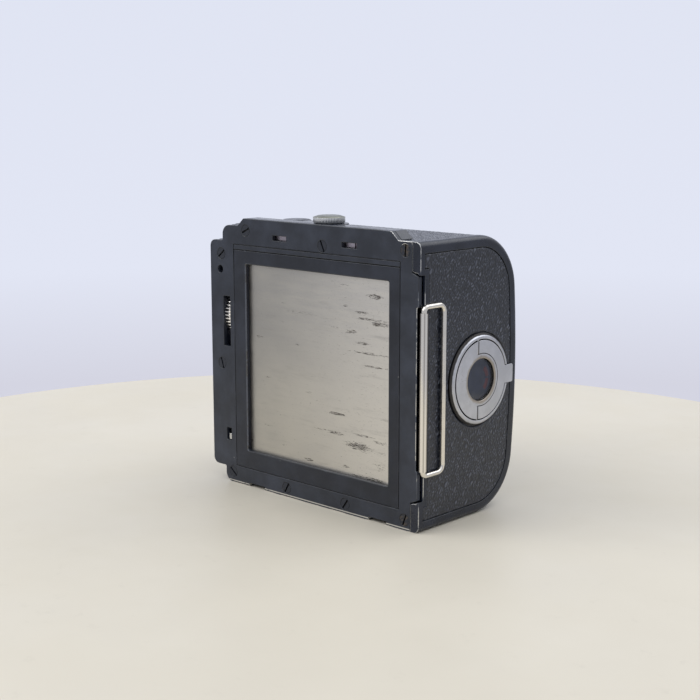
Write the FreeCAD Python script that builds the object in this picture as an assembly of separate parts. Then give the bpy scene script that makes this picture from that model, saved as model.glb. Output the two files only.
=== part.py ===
import FreeCAD, Part
import math
import os

# Roll-film magazine of a medium-format camera, millimetres.
# +X is the film holder's side, -X the crank's side, -Y faces the camera body, +Z is up.
# The origin is the middle of the film aperture, on the face that meets the camera body.

V = FreeCAD.Vector
OUT = "parts"

# ---------------------------------------------------------------- driving dimensions
# Body
HALF_HEIGHT = 39.4          # from the aperture's middle to the top and the bottom
DEPTH = 43.4                # from the camera face to the back
REAR_RADIUS = 16.4          # the two round corners at the back
CROWN = 265.0               # radius of the slightly domed back
CROWN_SLOPE = 0.08          # slope of the back where the dome meets the straight parts
BODY_LEFT, BODY_RIGHT = -38.3, 36.4
WALL = 1.4
LEATHER = 0.45              # the leather's thickness
LEATHER_BED = 0.5           # how deep the metal lies under the outer surface there
GAP = 0.1                   # between separate pieces that don't touch
# Front
PLATE = 1.4                 # front plate's thickness
FRAME_BACK = 5.0            # back of the front frame, where the casing starts
FRAME_EDGE = 2.6            # where the frame steps down for the leather
HOLE_DEPTH = 4.2            # end of the screws that hold the plate to the frame
APERTURE_HALF = 28.25
FLANGE_LEFT, FLANGE_HALF = -43.9, 34.7
HUMP_TOP, HUMP_SIDE, HUMP_FOOT, HUMP_BACK = 41.7, 29.1, 31.6, 6.0
EDGE_RIGHT, EDGE_HALF = 38.7, 30.3       # the part of the front that the dark slide enters
PANEL_LEFT, PANEL_RIGHT = -33.5, 32.3    # seam round the aperture panel
PANEL_LOW, PANEL_HIGH = -33.9, 32.4
SCREW_HEAD, SCREW_SHANK = 1.65, 0.6      # radii
FRONT_SCREWS = [
    (-28.1, 38.2, 25), (-39.0, 30.7, 40), (3.4, 35.9, -65), (34.0, 36.9, 85), (-39.3, -2.7, -70),
    (-35.0, -36.1, -40), (-11.6, -36.7, 60), (12.1, -36.7, 55), (34.3, -36.5, 70),
]                                        # x, z and the slot's angle in degrees
PIN_HOLE = (-39.5, 26.0, 1.15)           # x, z, radius
GEAR_WINDOW = ((-38.3, -35.4), (2.8, 18.0))      # x, z
LEVER_SLOT = ((-37.7, -35.6), (-26.4, -22.6))
NOTCH_NEAR, NOTCH_FAR, NOTCH_HIGH = 21.2, 27.7, 1.0      # the two notches in the bottom edge
# Dark slide
SLIDE_FRONT, SLIDE_THICK, SLIDE_HALF, SLIDE_LEFT = 1.45, 0.3, 29.8, -30.0
ROLL_X, ROLL_RADIUS = 40.15, 1.1
ROLL_LOW, ROLL_HIGH = -21.9, 20.9
BAIL_WIRE, BAIL_REACH = 0.72, 8.15
BAIL_BEND_NEAR, BAIL_BEND_FAR = 1.3, 2.0
BAIL_LOW, BAIL_HIGH = -23.3, 22.4
# Film holder's side cover and key
SIDE = 39.4
TAB_HALF = 31.2             # the cover reaches the camera face above and below this height
KEY_Y, KEY_Z = 25.3, -0.5
KEY_DISC, KEY_RIM, KEY_RING, KEY_WINDOW = 11.1, 11.45, 13.0, 5.95
KEY_HUB = 6.45              # radius of the sleeve that goes through the cover
KEY_FLOOR, KEY_STEP, KEY_FACE = 38.95, 39.45, 40.3
FLAP_INNER, FLAP_TAB, FLAP_TAB_HALF = 7.4, 14.5, 2.6
FLAP_HINGE_Y = KEY_Y - 1.35
FLAP_HINGE_X = (KEY_STEP + 0.05 + KEY_FACE) / 2
FLAP_PIN = 0.2
# Film spools
SPOOL_Y, SPOOL_Z = 27.5, 22.5
SPOOL_HALF, SPOOL_FLANGE, SPOOL_CORE = 31.0, 12.55, 6.0
SPOOL_BORE, PIVOT, RIVET = 3.0, 2.9, 2.0      # radii
HOLDER_PLATE = 31.6         # inner faces of the two holder plates
HOLDER_PLATE_THICK = 1.0
# Gears, all in one plane inside the crank's side
MODULE, PRESSURE, BACKLASH = 0.32, math.radians(20), 0.12
GEAR_LEFT, GEAR_RIGHT = -38.1, -35.7
GEAR_FLOOR = -34.9          # the gear pocket's floor
CRANK_TEETH, DRIVE_TEETH, IDLER_TEETH, TAKE_UP_TEETH = 62, 56, 25, 38
CRANK_Y, CRANK_Z = 23.8, 0.0
DRIVE_Z = 12.3
DRIVE_ROOM = (2.3, 22.2)     # the free height round the drive gear
# Crank's side, outside
CRANK_DISC, CRANK_FACE, CRANK_BACK = 11.0, -46.6, -43.6
ARM_FLOOR, ARM_HALF, ARM_HINGE = -45.3, 2.4, 8.0
KNOB_REACH, KNOB_RADIUS = 7.5, 1.8
COUNTER_Y, COUNTER_Z, COUNTER_RADIUS, COUNTER_WINDOW = 12.5, 24.0, 7.3, 2.4
COUNTER_OFFSET = 4.4        # from the dial's axis up to its window
FLAG_WINDOW_Z, FLAG_WINDOW = 15.0, 1.4
# Catch on the top
BUTTON_Y, BUTTON_RADIUS, BUTTON_BASE, BUTTON_TOP = 6.4, 4.55, 41.78, 43.9
CATCH_TRAVEL = 4.5
HOOK_SLOT = (10.9, 16.6, 36.05, 37.5)    # |x| from, |x| to, z from, z to


# ---------------------------------------------------------------- helpers
def block(x, y, z):
    """Box from pairs of low and high values."""
    return Part.makeBox(x[1] - x[0], y[1] - y[0], z[1] - z[0], V(x[0], y[0], z[0]))


def rod(radius, start, end):
    """Round bar between two points."""
    start, end = V(*start), V(*end)
    return Part.makeCylinder(radius, (end - start).Length, start, end - start)


def rod_x(radius, x, y, z):
    """Round bar along X, from x[0] to x[1]."""
    return rod(radius, (x[0], y, z), (x[1], y, z))


def ring_x(outer, inner, x, y, z):
    return rod_x(outer, x, y, z).cut(rod_x(inner, (x[0] - 1, x[1] + 1), y, z))


def fuse(shapes):
    """One solid from touching shapes."""
    first, *rest = shapes
    return first.multiFuse(rest).removeSplitter() if rest else first


def cut(shape, *tools):
    return shape.cut(Part.makeCompound(list(tools))) if tools else shape


def corner_wire(corners):
    """Closed wire through (point, radius) corners, each rounded by its radius."""
    count = len(corners)
    bends = []
    for i, (point, radius) in enumerate(corners):
        before = (corners[i - 1][0] - point).normalize()
        after = (corners[(i + 1) % count][0] - point).normalize()
        half = before.getAngle(after) / 2
        reach = radius / math.tan(half)
        middle = None
        if radius:
            inward = (before + after).normalize()
            middle = point + inward * (radius / math.sin(half) - radius)
        bends.append((point + before * reach, middle, point + after * reach))
    edges = []
    for i, (first, middle, last) in enumerate(bends):
        if middle:
            edges.append(Part.Arc(first, middle, last).toShape())
        following = bends[(i + 1) % count][0]
        if (following - last).Length > 1e-6:
            edges.append(Part.LineSegment(last, following).toShape())
    return Part.Wire(edges)


def slab_y(corners, y):
    """Plate across Y from (x, z, radius) corners."""
    wire = corner_wire([(V(px, y[0], pz), r) for px, pz, r in corners])
    return Part.Face(wire).extrude(V(0, y[1] - y[0], 0))


def slab_x(corners, x):
    """Plate across X from (y, z, radius) corners."""
    wire = corner_wire([(V(x[0], py, pz), r) for py, pz, r in corners])
    return Part.Face(wire).extrude(V(x[1] - x[0], 0, 0))


def slab_z(corners, z):
    """Plate across Z from (x, y, radius) corners."""
    wire = corner_wire([(V(px, py, z[0]), r) for px, py, r in corners])
    return Part.Face(wire).extrude(V(0, 0, z[1] - z[0]))


def round_back(high, back, radius, crown):
    """Corners of a slightly domed back with its two round ends, from the bottom up."""
    peak = back + crown * (math.sqrt(1 + CROWN_SLOPE**2) - 1)
    end = peak - CROWN_SLOPE * high
    return [(end, -high, radius), (peak, 0, crown), (end, high, radius)]


def body_slab(x, front, inset):
    """The magazine's side view, flat in front and round at the back, made smaller by inset."""
    high = HALF_HEIGHT - inset
    rear = round_back(high, DEPTH - inset, REAR_RADIUS - inset, CROWN - inset)
    return slab_x([(front, -high, 0), *rear, (front, high, 0)], x)


def edges_at(shape, test):
    """Edges whose ends and middle all pass the test."""
    found = []
    for edge in shape.Edges:
        first, last = edge.ParameterRange
        if all(test(edge.valueAt(p)) for p in (first, (first + last) / 2, last)):
            found.append(edge)
    return found


def slot_bar(x, y, z, angle, length, width, depth):
    """The bar that cuts a screwdriver slot into a head that faces -Y."""
    bar = Part.makeBox(length, depth, width, V(-length / 2, 0, -width / 2))
    bar.rotate(V(0, 0, 0), V(0, -1, 0), angle)
    bar.translate(V(x, y, z))
    return bar


def flat_screw(x, z, angle, shank_end):
    """Slotted flat-head screw whose head is level with the camera face."""
    head = rod(SCREW_HEAD, (x, 0.05, z), (x, PLATE, z))
    shank = rod(SCREW_SHANK, (x, PLATE, z), (x, shank_end, z))
    return fuse([head, shank]).cut(slot_bar(x, 0, z, angle, 4, 0.5, 0.6))


# ---------------------------------------------------------------- front
def front_outline():
    """Outline of the front plate, clockwise from the hump's left end."""
    bottom, top = -HALF_HEIGHT, -HALF_HEIGHT + NOTCH_HIGH
    support = []
    for right, left in ((NOTCH_FAR, NOTCH_NEAR), (-NOTCH_NEAR, -NOTCH_FAR)):
        support += [(right, bottom, 0), (right, top, 0), (left, top, 0), (left, bottom, 0)]
    finger = 22.5            # half the height of the finger recess beside the dark slide's roll
    return [
        (-HUMP_SIDE, HUMP_TOP, 0.5), (HUMP_SIDE, HUMP_TOP, 0.5), (HUMP_FOOT, HALF_HEIGHT, 0),
        (BODY_RIGHT, HALF_HEIGHT, 0), (BODY_RIGHT, TAB_HALF, 0), (EDGE_RIGHT, EDGE_HALF, 0.3),
        (EDGE_RIGHT, finger, 0.3), (EDGE_RIGHT - 0.5, finger - 0.6, 0.3),
        (EDGE_RIGHT - 0.5, -finger + 0.6, 0.3), (EDGE_RIGHT, -finger, 0.3),
        (EDGE_RIGHT, -EDGE_HALF, 0.3), (BODY_RIGHT, -TAB_HALF, 0), (BODY_RIGHT, -HALF_HEIGHT, 0),
        *support,
        (BODY_LEFT, -HALF_HEIGHT, 2.8), (BODY_LEFT, -FLANGE_HALF, 0.4), (FLANGE_LEFT, -FLANGE_HALF, 2.0),
        (FLANGE_LEFT, FLANGE_HALF, 2.0), (BODY_LEFT, FLANGE_HALF, 0.4), (BODY_LEFT, HALF_HEIGHT, 2.8),
        (-HUMP_FOOT, HALF_HEIGHT, 0),
    ]


def hook_slots(y, grow=0.0):
    x0, x1, z0, z1 = HOOK_SLOT
    return [
        block((x0 - grow, x1 + grow), y, (z0 - grow, z1 + grow)),
        block((-x1 - grow, -x0 + grow), y, (z0 - grow, z1 + grow)),
    ]


def front_plate():
    through = (-1, PLATE + 1)
    panel = [
        (PANEL_LEFT, PANEL_LOW, 0), (PANEL_RIGHT, PANEL_LOW, 0),
        (PANEL_RIGHT, PANEL_HIGH, 0), (PANEL_LEFT, PANEL_HIGH, 0),
    ]
    px, pz, pr = PIN_HOLE
    groove_z, groove, groove_depth = PANEL_HIGH + 1.4, 0.12, 0.15
    holes = [rod(SCREW_HEAD + 0.06, (sx, -1, sz), (sx, PLATE + 1, sz)) for sx, sz, _ in FRONT_SCREWS]
    return cut(
        slab_y(front_outline(), (0, PLATE)),
        slab_y(panel, through),
        *hook_slots(through),
        block(GEAR_WINDOW[0], through, GEAR_WINDOW[1]),
        block(LEVER_SLOT[0], through, LEVER_SLOT[1]),
        rod(pr, (px, -1, pz), (px, PLATE + 1, pz)),
        block((PANEL_LEFT, PANEL_RIGHT), (-1, groove_depth), (groove_z, groove_z + groove)),
        block((PANEL_LEFT, PANEL_LEFT + groove), (-1, groove_depth), (PANEL_HIGH - 1, groove_z)),
        block((PANEL_RIGHT - groove, PANEL_RIGHT), (-1, groove_depth), (PANEL_HIGH - 1, groove_z)),
        *holes,
    )


def aperture_panel():
    seam = 0.16
    outline = [
        (PANEL_LEFT + seam, PANEL_LOW + seam, 0), (PANEL_RIGHT - seam, PANEL_LOW + seam, 0),
        (PANEL_RIGHT - seam, PANEL_HIGH - seam, 0), (PANEL_LEFT + seam, PANEL_HIGH - seam, 0),
    ]
    a = APERTURE_HALF
    opening = [(-a, -a, 0.5), (a, -a, 0.5), (a, a, 0.5), (-a, a, 0.5)]
    panel = slab_y(outline, (0, PLATE)).cut(slab_y(opening, (-1, PLATE + 1)))
    rim = edges_at(panel, lambda p: p.y < 1e-6 and max(abs(p.x), abs(p.z)) < a + 0.01)
    return panel.makeChamfer(0.2, rim)


def front_screws():
    ends = [2.4 if sx < BODY_LEFT else HOLE_DEPTH for sx, _, _ in FRONT_SCREWS]
    return [flat_screw(sx, sz, angle, end) for (sx, sz, angle), end in zip(FRONT_SCREWS, ends)]


def shank_holes(reach, wanted):
    places = [(sx, sz) for sx, sz, _ in FRONT_SCREWS if wanted(sx)]
    return [rod(SCREW_SHANK + 0.05, (sx, 0, sz), (sx, reach, sz)) for sx, sz in places]


def front_frame():
    """Casting behind the plate: dark slide's channel, film gate and the catch's pocket."""
    high = HALF_HEIGHT
    right = BODY_RIGHT - GAP
    outline = [(right, high, 0), (right, -high, 0), (BODY_LEFT, -high, 2.8), (BODY_LEFT, high, 2.8)]
    slide_back = SLIDE_FRONT + SLIDE_THICK + 0.05
    lip = block((right - 1, 38.3), (slide_back, 2.3), (-29.9, 29.9))
    frame = fuse([slab_y(outline, (PLATE, FRAME_BACK)), lip])
    leather_x, leather_y = (BODY_LEFT + 0.8, BODY_RIGHT + 1), (FRAME_EDGE, FRAME_BACK + 1)
    gate = 28.0
    notches = ((NOTCH_NEAR, NOTCH_FAR), (-NOTCH_FAR, -NOTCH_NEAR))
    support = [block(x, (0, 3.5), (-high - 1, -high + NOTCH_HIGH)) for x in notches]
    return cut(
        frame,
        block((SLIDE_LEFT - 0.6, 50), (PLATE - 1, slide_back), (-SLIDE_HALF - 0.3, SLIDE_HALF + 0.3)),
        block((-gate, gate), (0, 10), (-gate, gate)),
        block(leather_x, leather_y, (high - LEATHER_BED, high + 1)),
        block(leather_x, leather_y, (-high - 1, -high + LEATHER_BED)),
        block((30.2, 35.0), (slide_back - 1, 2.7), (-29.5, 29.5)),           # the light trap's bed
        block((-30.3, 27.0), (PLATE - 1, 2.9), (35.2, 38.6)),                # the catch bar's channel
        block((-8.0, 4.0), (PLATE - 1, 2.9), (38.0, high + 1)),              # the catch's riser
        block((-40, -35.2), (PLATE - 1, 10), DRIVE_ROOM),
        block((-37.9, -35.4), (PLATE - 1, 10), (-28.2, -22.0)),              # the signal lever
        *shank_holes(HOLE_DEPTH + 0.1, lambda sx: sx > BODY_LEFT),
        *support,
    )


def light_trap_pad():
    return block((30.3, 34.9), (SLIDE_FRONT + SLIDE_THICK + 0.05, 2.65), (-29.4, 29.4))


def film_rails():
    back = FRAME_BACK + 0.3
    near, far, high = 28.6, 30.8, 32
    return [block(x, (FRAME_BACK, back), (-high, high)) for x in ((near, far), (-far, -near))]


# ---------------------------------------------------------------- catch
def catch_housing():
    """Raised bridge on the top, with a pad round the button."""
    bridge = slab_y(
        [
            (-HUMP_FOOT, HALF_HEIGHT, 0), (HUMP_FOOT, HALF_HEIGHT, 0),
            (HUMP_SIDE, HUMP_TOP, 0.5), (-HUMP_SIDE, HUMP_TOP, 0.5),
        ],
        (PLATE, HUMP_BACK),
    )
    pad_radius, pad_left = 5.6, -5.0
    pad = slab_z(
        [
            (pad_left - pad_radius, BUTTON_Y - pad_radius + 1, 0),
            (pad_radius, BUTTON_Y - pad_radius + 1, 0),
            (pad_radius, BUTTON_Y + pad_radius, pad_radius - 0.1),
            (pad_left - pad_radius, BUTTON_Y + pad_radius, pad_radius - 0.1),
        ],
        (HALF_HEIGHT, HUMP_TOP),
    )
    housing = fuse([bridge, pad])
    stem = 0.9 + 0.15
    return cut(
        housing,
        block((-9.0, 4.0), (0, 9.0), (HALF_HEIGHT - 1, 40.9)),
        block((-CATCH_TRAVEL - stem, stem), (BUTTON_Y - stem, BUTTON_Y + stem), (40, 43)),
    )


def catch_bar():
    """Sliding bar with two hooks, and the riser and tongue that carry the button."""
    z = (HOOK_SLOT[2] + 0.05, HOOK_SLOT[3] - 0.05)
    y = (1.9, 2.55)
    hooks = [block(x, (PLATE + 0.05, y[0]), z) for x in ((-16.5, -12.4), (10.95, 14.6))]
    bar = block((-22.0, 24.0), y, (35.6, 38.2))
    riser = block((-2.0, 2.0), y, (38.2, 40.5))
    tongue = block((-2.0, 2.0), (1.9, 8.0), (39.7, 40.5))
    screw_slot = block((2.6, 3.4 + CATCH_TRAVEL + 0.8), (1, 3), (35, 36.75))
    return fuse([bar, riser, tongue, *hooks]).cut(screw_slot)


def catch_stem():
    return rod(0.9, (0, BUTTON_Y, 40.5), (0, BUTTON_Y, BUTTON_BASE))


def release_button():
    """Round button whose top slopes down towards its edge."""
    slope_width, slope_height = 1.3, 0.42
    edge = BUTTON_TOP - slope_height
    side = rod(BUTTON_RADIUS, (0, BUTTON_Y, BUTTON_BASE), (0, BUTTON_Y, edge))
    top = Part.makeCone(BUTTON_RADIUS, BUTTON_RADIUS - slope_width, slope_height, V(0, BUTTON_Y, edge))
    return fuse([side, top])


def catch_spring():
    """Compression spring between the channel's end and the bar."""
    radius, wire, turns, start, end = 0.55, 0.15, 8, -30.2, -22.1
    length = end - start - 2 * wire
    path = Part.makeHelix(length / turns, length, radius)
    section = Part.Wire(Part.Circle(V(radius, 0, 0), V(0, 1, 0), wire).toShape())
    spring = Part.Wire(path.Edges).makePipeShell([section], True, True)
    spring.rotate(V(0, 0, 0), V(0, 1, 0), 90)
    spring.translate(V(start + wire, 2.15, 36.6))
    return spring


def top_boss():
    """Low domed boss behind the bridge."""
    radius, x, y, top = 5.0, -19.3, 12.5, 41.35
    boss = rod(radius, (x, y, HALF_HEIGHT - 0.05), (x, y, top))
    return boss.makeFillet(1.6, edges_at(boss, lambda p: p.z > top - 1e-6))


# ---------------------------------------------------------------- casing
def casing():
    """Top, back and bottom in one bent shell, open to the front and to the film holder's side."""
    x = (GEAR_FLOOR + 0.9, BODY_RIGHT - GAP)
    outer = body_slab(x, FRAME_BACK, LEATHER_BED)
    inner = body_slab((x[0] - 1, x[1] + 1), FRAME_BACK - 1, LEATHER_BED + WALL)
    return outer.cut(inner)


def drive_wall():
    """End wall on the crank's side, with the gears' pocket in its outer face."""
    x = (BODY_LEFT, GEAR_FLOOR + 0.9)
    wall = body_slab(x, FRAME_BACK, LEATHER_BED)
    rim = body_slab((BODY_LEFT, BODY_LEFT + 0.8), FRAME_BACK, 0)
    rim = rim.makeFillet(0.5, edges_at(rim, lambda p: p.x < BODY_LEFT + 1e-6 and p.y > FRAME_BACK + 1e-3))
    front, back, low, high = 6.2, 35, -12.5, 30
    pocket = slab_x(
        [(front, low, 2), (back, low, 3), (back, high, 8), (front, high, 2)], (BODY_LEFT - 1, GEAR_FLOOR)
    )
    return cut(
        fuse([wall, rim]),
        pocket,
        block((BODY_LEFT - 1, -35.2), (FRAME_BACK - 1, 7), DRIVE_ROOM),
        block((-37.9, -35.4), (FRAME_BACK - 1, 7), (-28.2, -22.0)),
        rod_x(2.1, (-36, -33), SPOOL_Y, SPOOL_Z),
        rod_x(1.55, (-36, -34.2), CRANK_Y, CRANK_Z),
        *[rod_x(0.85, (BODY_LEFT - 1, BODY_LEFT + 1.6), py, pz) for py, pz in COVER_SCREWS],
    )


def body_leather():
    """Leather wrapped round the top, the back and the bottom."""
    front = FRAME_EDGE + 0.05
    x = (BODY_LEFT + 0.85, BODY_RIGHT - 0.15)
    outer = body_slab(x, front, LEATHER_BED - LEATHER)
    return outer.cut(body_slab((x[0] - 1, x[1] + 1), front - 1, LEATHER_BED))


# ---------------------------------------------------------------- gears
def gear(teeth, y, z, bore, phase):
    """Involute spur gear. phase is the direction of one tooth's middle."""
    pitch = MODULE * teeth / 2
    base = pitch * math.cos(PRESSURE)
    root, tip = pitch - 1.2 * MODULE, pitch + 0.9 * MODULE
    half_tooth = (math.pi / 2 - BACKLASH) / teeth
    involute = math.tan(PRESSURE) - PRESSURE
    steps = 4
    flank = []
    for i in range(steps + 1):
        r = max(base, root) + (tip - max(base, root)) * i / steps
        roll = math.acos(min(1.0, base / r))
        flank.append((r, half_tooth + involute - (math.tan(roll) - roll)))
    if root < base:
        flank.insert(0, (root, flank[0][1]))
    points = []
    for n in range(teeth):
        middle = phase + 2 * math.pi * n / teeth
        for r, half in flank:
            points.append((r, middle - half))
        for r, half in reversed(flank):
            points.append((r, middle + half))
    corners = [V(GEAR_LEFT, y + r * math.cos(a), z + r * math.sin(a)) for r, a in points]
    wheel = Part.Face(Part.makePolygon(corners + corners[:1])).extrude(V(GEAR_RIGHT - GEAR_LEFT, 0, 0))
    return wheel.cut(rod_x(bore, (GEAR_LEFT - 1, GEAR_RIGHT + 1), y, z))


def meshing_phase(driver_phase, driver_teeth, driven_teeth, direction):
    """Phase that puts the driven gear in mesh. direction points from the driver to it."""
    slip = (direction - driver_phase) * driver_teeth / driven_teeth
    return direction + math.pi + math.pi / driven_teeth + slip


def gear_places():
    """Centre and phase of each gear of the train, from the crank's gear outwards."""
    crank = (CRANK_Y, CRANK_Z)
    to_drive = MODULE * (CRANK_TEETH + DRIVE_TEETH) / 2
    drive = (CRANK_Y - math.sqrt(to_drive**2 - (DRIVE_Z - CRANK_Z) ** 2), DRIVE_Z)
    take_up = (SPOOL_Y, SPOOL_Z)
    first = MODULE * (CRANK_TEETH + IDLER_TEETH) / 2
    second = MODULE * (IDLER_TEETH + TAKE_UP_TEETH) / 2
    dy, dz = take_up[0] - crank[0], take_up[1] - crank[1]
    far = math.hypot(dy, dz)
    along = (first**2 - second**2 + far**2) / (2 * far)
    aside = math.sqrt(first**2 - along**2)
    idler = (crank[0] + (dy * along + dz * aside) / far, crank[1] + (dz * along - dy * aside) / far)

    def direction(a, b):
        return math.atan2(b[1] - a[1], b[0] - a[0])

    crank_phase = direction(crank, drive)
    drive_phase = meshing_phase(crank_phase, CRANK_TEETH, DRIVE_TEETH, direction(crank, drive))
    idler_phase = meshing_phase(crank_phase, CRANK_TEETH, IDLER_TEETH, direction(crank, idler))
    take_up_phase = meshing_phase(idler_phase, IDLER_TEETH, TAKE_UP_TEETH, direction(idler, take_up))
    return {
        "crank": (*crank, crank_phase),
        "drive": (*drive, drive_phase),
        "idler": (*idler, idler_phase),
        "take_up": (*take_up, take_up_phase),
    }


STUD = 1.2
PLACES = gear_places()


PLATE_SCREWS = [(8.5, -10.0), (33.0, -9.5), (9.5, 26.8)]


def gear_studs():
    """Two studs that gears turn on, and three pillars that take the plate's screws."""
    studs = [rod_x(STUD, (BODY_LEFT, GEAR_FLOOR), *PLACES[name][:2]) for name in ("drive", "idler")]
    pillars = [ring_x(1.7, 0.85, (BODY_LEFT, GEAR_FLOOR), py, pz) for py, pz in PLATE_SCREWS]
    return studs + pillars


def crank_gear():
    return gear(CRANK_TEETH, *PLACES["crank"][:2], 2.42, PLACES["crank"][2])


def drive_gear():
    return gear(DRIVE_TEETH, *PLACES["drive"][:2], STUD + 0.05, PLACES["drive"][2])


def idler_gear():
    return gear(IDLER_TEETH, *PLACES["idler"][:2], STUD + 0.05, PLACES["idler"][2])


def take_up_gear():
    return gear(TAKE_UP_TEETH, *PLACES["take_up"][:2], 2.02, PLACES["take_up"][2])


def take_up_dog():
    """Shaft with a blade that turns the take-up spool."""
    shaft = rod_x(2.0, (GEAR_LEFT, -28.8), SPOOL_Y, SPOOL_Z)
    blade = block((-30.8, -29.0), (SPOOL_Y - 0.7, SPOOL_Y + 0.7), (SPOOL_Z - 4.8, SPOOL_Z + 4.8))
    return fuse([shaft, blade])


def gear_plate():
    """Plate that keeps the gears on their studs."""
    x = (BODY_LEFT - 0.8, BODY_LEFT)
    plate = slab_x([(5.0, -13.5, 3), (37.0, -13.5, 3), (37.0, 30, 3), (5.0, 30, 3)], x)
    flag_pin = rod_x(0.6, (-41.2, x[0]), 20.5, 17.0)
    through = (x[0] - 1, x[1] + 1)
    screws = [rod_x(0.85, through, py, pz) for py, pz in PLATE_SCREWS]
    bosses = [rod_x(2.1, through, py, pz) for py, pz in COVER_SCREWS]
    return cut(fuse([cut(plate, *bosses), flag_pin]), rod_x(2.5, through, CRANK_Y, CRANK_Z), *screws)


def gear_plate_screws():
    top = BODY_LEFT - 0.8
    screws = []
    for py, pz in PLATE_SCREWS:
        head = rod_x(1.5, (top - 0.7, top), py, pz)
        shank = rod_x(0.8, (top, BODY_LEFT + 2.4), py, pz)
        slot = block((top - 1, top - 0.4), (py - 2, py + 2), (pz - 0.2, pz + 0.2))
        screws.append(fuse([head, shank]).cut(slot))
    return screws


# ---------------------------------------------------------------- crank's side
def gear_cover_outline(inset):
    front, back, high = PLATE + inset, 40.0 - inset, FLANGE_HALF - inset
    soft, round_back = max(2.0 - inset, 0.5), 9.0 - inset
    return [(front, -high, soft), (back, -high, round_back), (back, high, round_back), (front, high, soft)]


COVER_SCREWS = [(6.8, -28.8), (33.0, -27.5), (33.5, 28.5)]


def gear_cover():
    """Cover over the gears, with openings for the crank, the frame counter and the film signal."""
    outer = slab_x(gear_cover_outline(0), (FLANGE_LEFT, BODY_LEFT))
    outer = outer.makeFillet(
        1.2, edges_at(outer, lambda p: p.x < FLANGE_LEFT + 1e-6 and p.y > PLATE + 1e-3)
    )
    hollow = slab_x(gear_cover_outline(1.4), (FLANGE_LEFT + 1.2, BODY_LEFT + 1))
    px, pz, pr = PIN_HOLE
    bed = leather_bed(0)
    through = (FLANGE_LEFT - 1, FLANGE_LEFT + 2)
    bosses = [rod_x(1.8, (FLANGE_LEFT + 1, BODY_LEFT), py, sz) for py, sz in COVER_SCREWS]
    holes = [rod_x(0.85, (FLANGE_LEFT - 1, BODY_LEFT + 1), py, sz) for py, sz in COVER_SCREWS]
    return cut(
        fuse([cut(outer, hollow), *bosses]), bed,
        rod_x(2.5, through, CRANK_Y, CRANK_Z),
        rod_x(COUNTER_WINDOW, through, COUNTER_Y, COUNTER_Z + COUNTER_OFFSET),
        rod_x(FLAG_WINDOW, through, COUNTER_Y, FLAG_WINDOW_Z),
        rod(pr, (px, 0, pz), (px, 6, pz)),
        *holes,
        *shank_holes(2.55, lambda sx: sx < BODY_LEFT),
    )


def leather_bed(shrink):
    """Bed of the crank side's leather in the gear cover, or the leather itself."""
    inset = 2.6 + shrink
    outside = FLANGE_LEFT + 0.05 if shrink else FLANGE_LEFT - 1
    return slab_x(gear_cover_outline(inset), (outside, FLANGE_LEFT + LEATHER))


def cover_leather():
    x = (FLANGE_LEFT - 1, FLANGE_LEFT + 1)
    holes = [rod_x(2.1, x, py, pz) for py, pz in COVER_SCREWS]
    return cut(
        leather_bed(0.06),
        rod_x(12.8, x, CRANK_Y, CRANK_Z),
        rod_x(3.5, x, COUNTER_Y, COUNTER_Z + COUNTER_OFFSET),
        rod_x(2.4, x, COUNTER_Y, FLAG_WINDOW_Z),
        *holes,
    )


def cover_screws():
    screws = []
    for py, pz in COVER_SCREWS:
        head = rod_x(1.8, (FLANGE_LEFT - 0.1, FLANGE_LEFT + LEATHER), py, pz)
        shank = rod_x(0.8, (FLANGE_LEFT + LEATHER, BODY_LEFT + 1.5), py, pz)
        slot = block((FLANGE_LEFT - 1, FLANGE_LEFT + 0.2), (py - 2, py + 2), (pz - 0.2, pz + 0.2))
        screws.append(fuse([head, shank]).cut(slot))
    return screws


def crank_escutcheon():
    """Ring round the crank's disc."""
    ring = ring_x(12.7, 11.2, (FLANGE_LEFT - 0.8, FLANGE_LEFT + LEATHER), CRANK_Y, CRANK_Z)
    return ring.makeChamfer(0.35, edges_at(ring, lambda p: p.x < FLANGE_LEFT - 0.8 + 1e-6)[:1])


def crank_shaft():
    outer = rod_x(2.4, (ARM_FLOOR, GEAR_RIGHT), CRANK_Y, CRANK_Z)
    return fuse([outer, rod_x(1.5, (GEAR_RIGHT, -34.3), CRANK_Y, CRANK_Z)])


def crank_hinge():
    """Y and X of the arm's hinge axis."""
    return CRANK_Y + ARM_HINGE, CRANK_FACE


def crank_disc():
    """Disc with a bed for the folded arm, a well for its knob, and two ears for its pin."""
    hy, hx = crank_hinge()
    disc = rod_x(CRANK_DISC, (CRANK_FACE, CRANK_BACK), CRANK_Y, CRANK_Z)
    disc = disc.makeFillet(0.4, edges_at(disc, lambda p: p.x < CRANK_FACE + 1e-6))
    gap = ARM_HALF + 0.1
    ears = [rod(0.8, (hx, hy, side * gap), (hx, hy, side * (gap + 1.1))) for side in (1, -1)]
    bed = block((CRANK_FACE - 2, ARM_FLOOR), (CRANK_Y - 9.8, CRANK_Y + CRANK_DISC + 1), (-gap, gap))
    return cut(
        fuse([disc, *ears]),
        bed,
        rod_x(KNOB_RADIUS + 0.3, (CRANK_FACE, -43.8), CRANK_Y - KNOB_REACH, CRANK_Z),
        rod_x(2.42, (CRANK_FACE, CRANK_BACK + 1), CRANK_Y, CRANK_Z),
        rod(0.4, (hx, hy, -gap - 0.8), (hx, hy, gap + 0.8)),
    )


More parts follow.
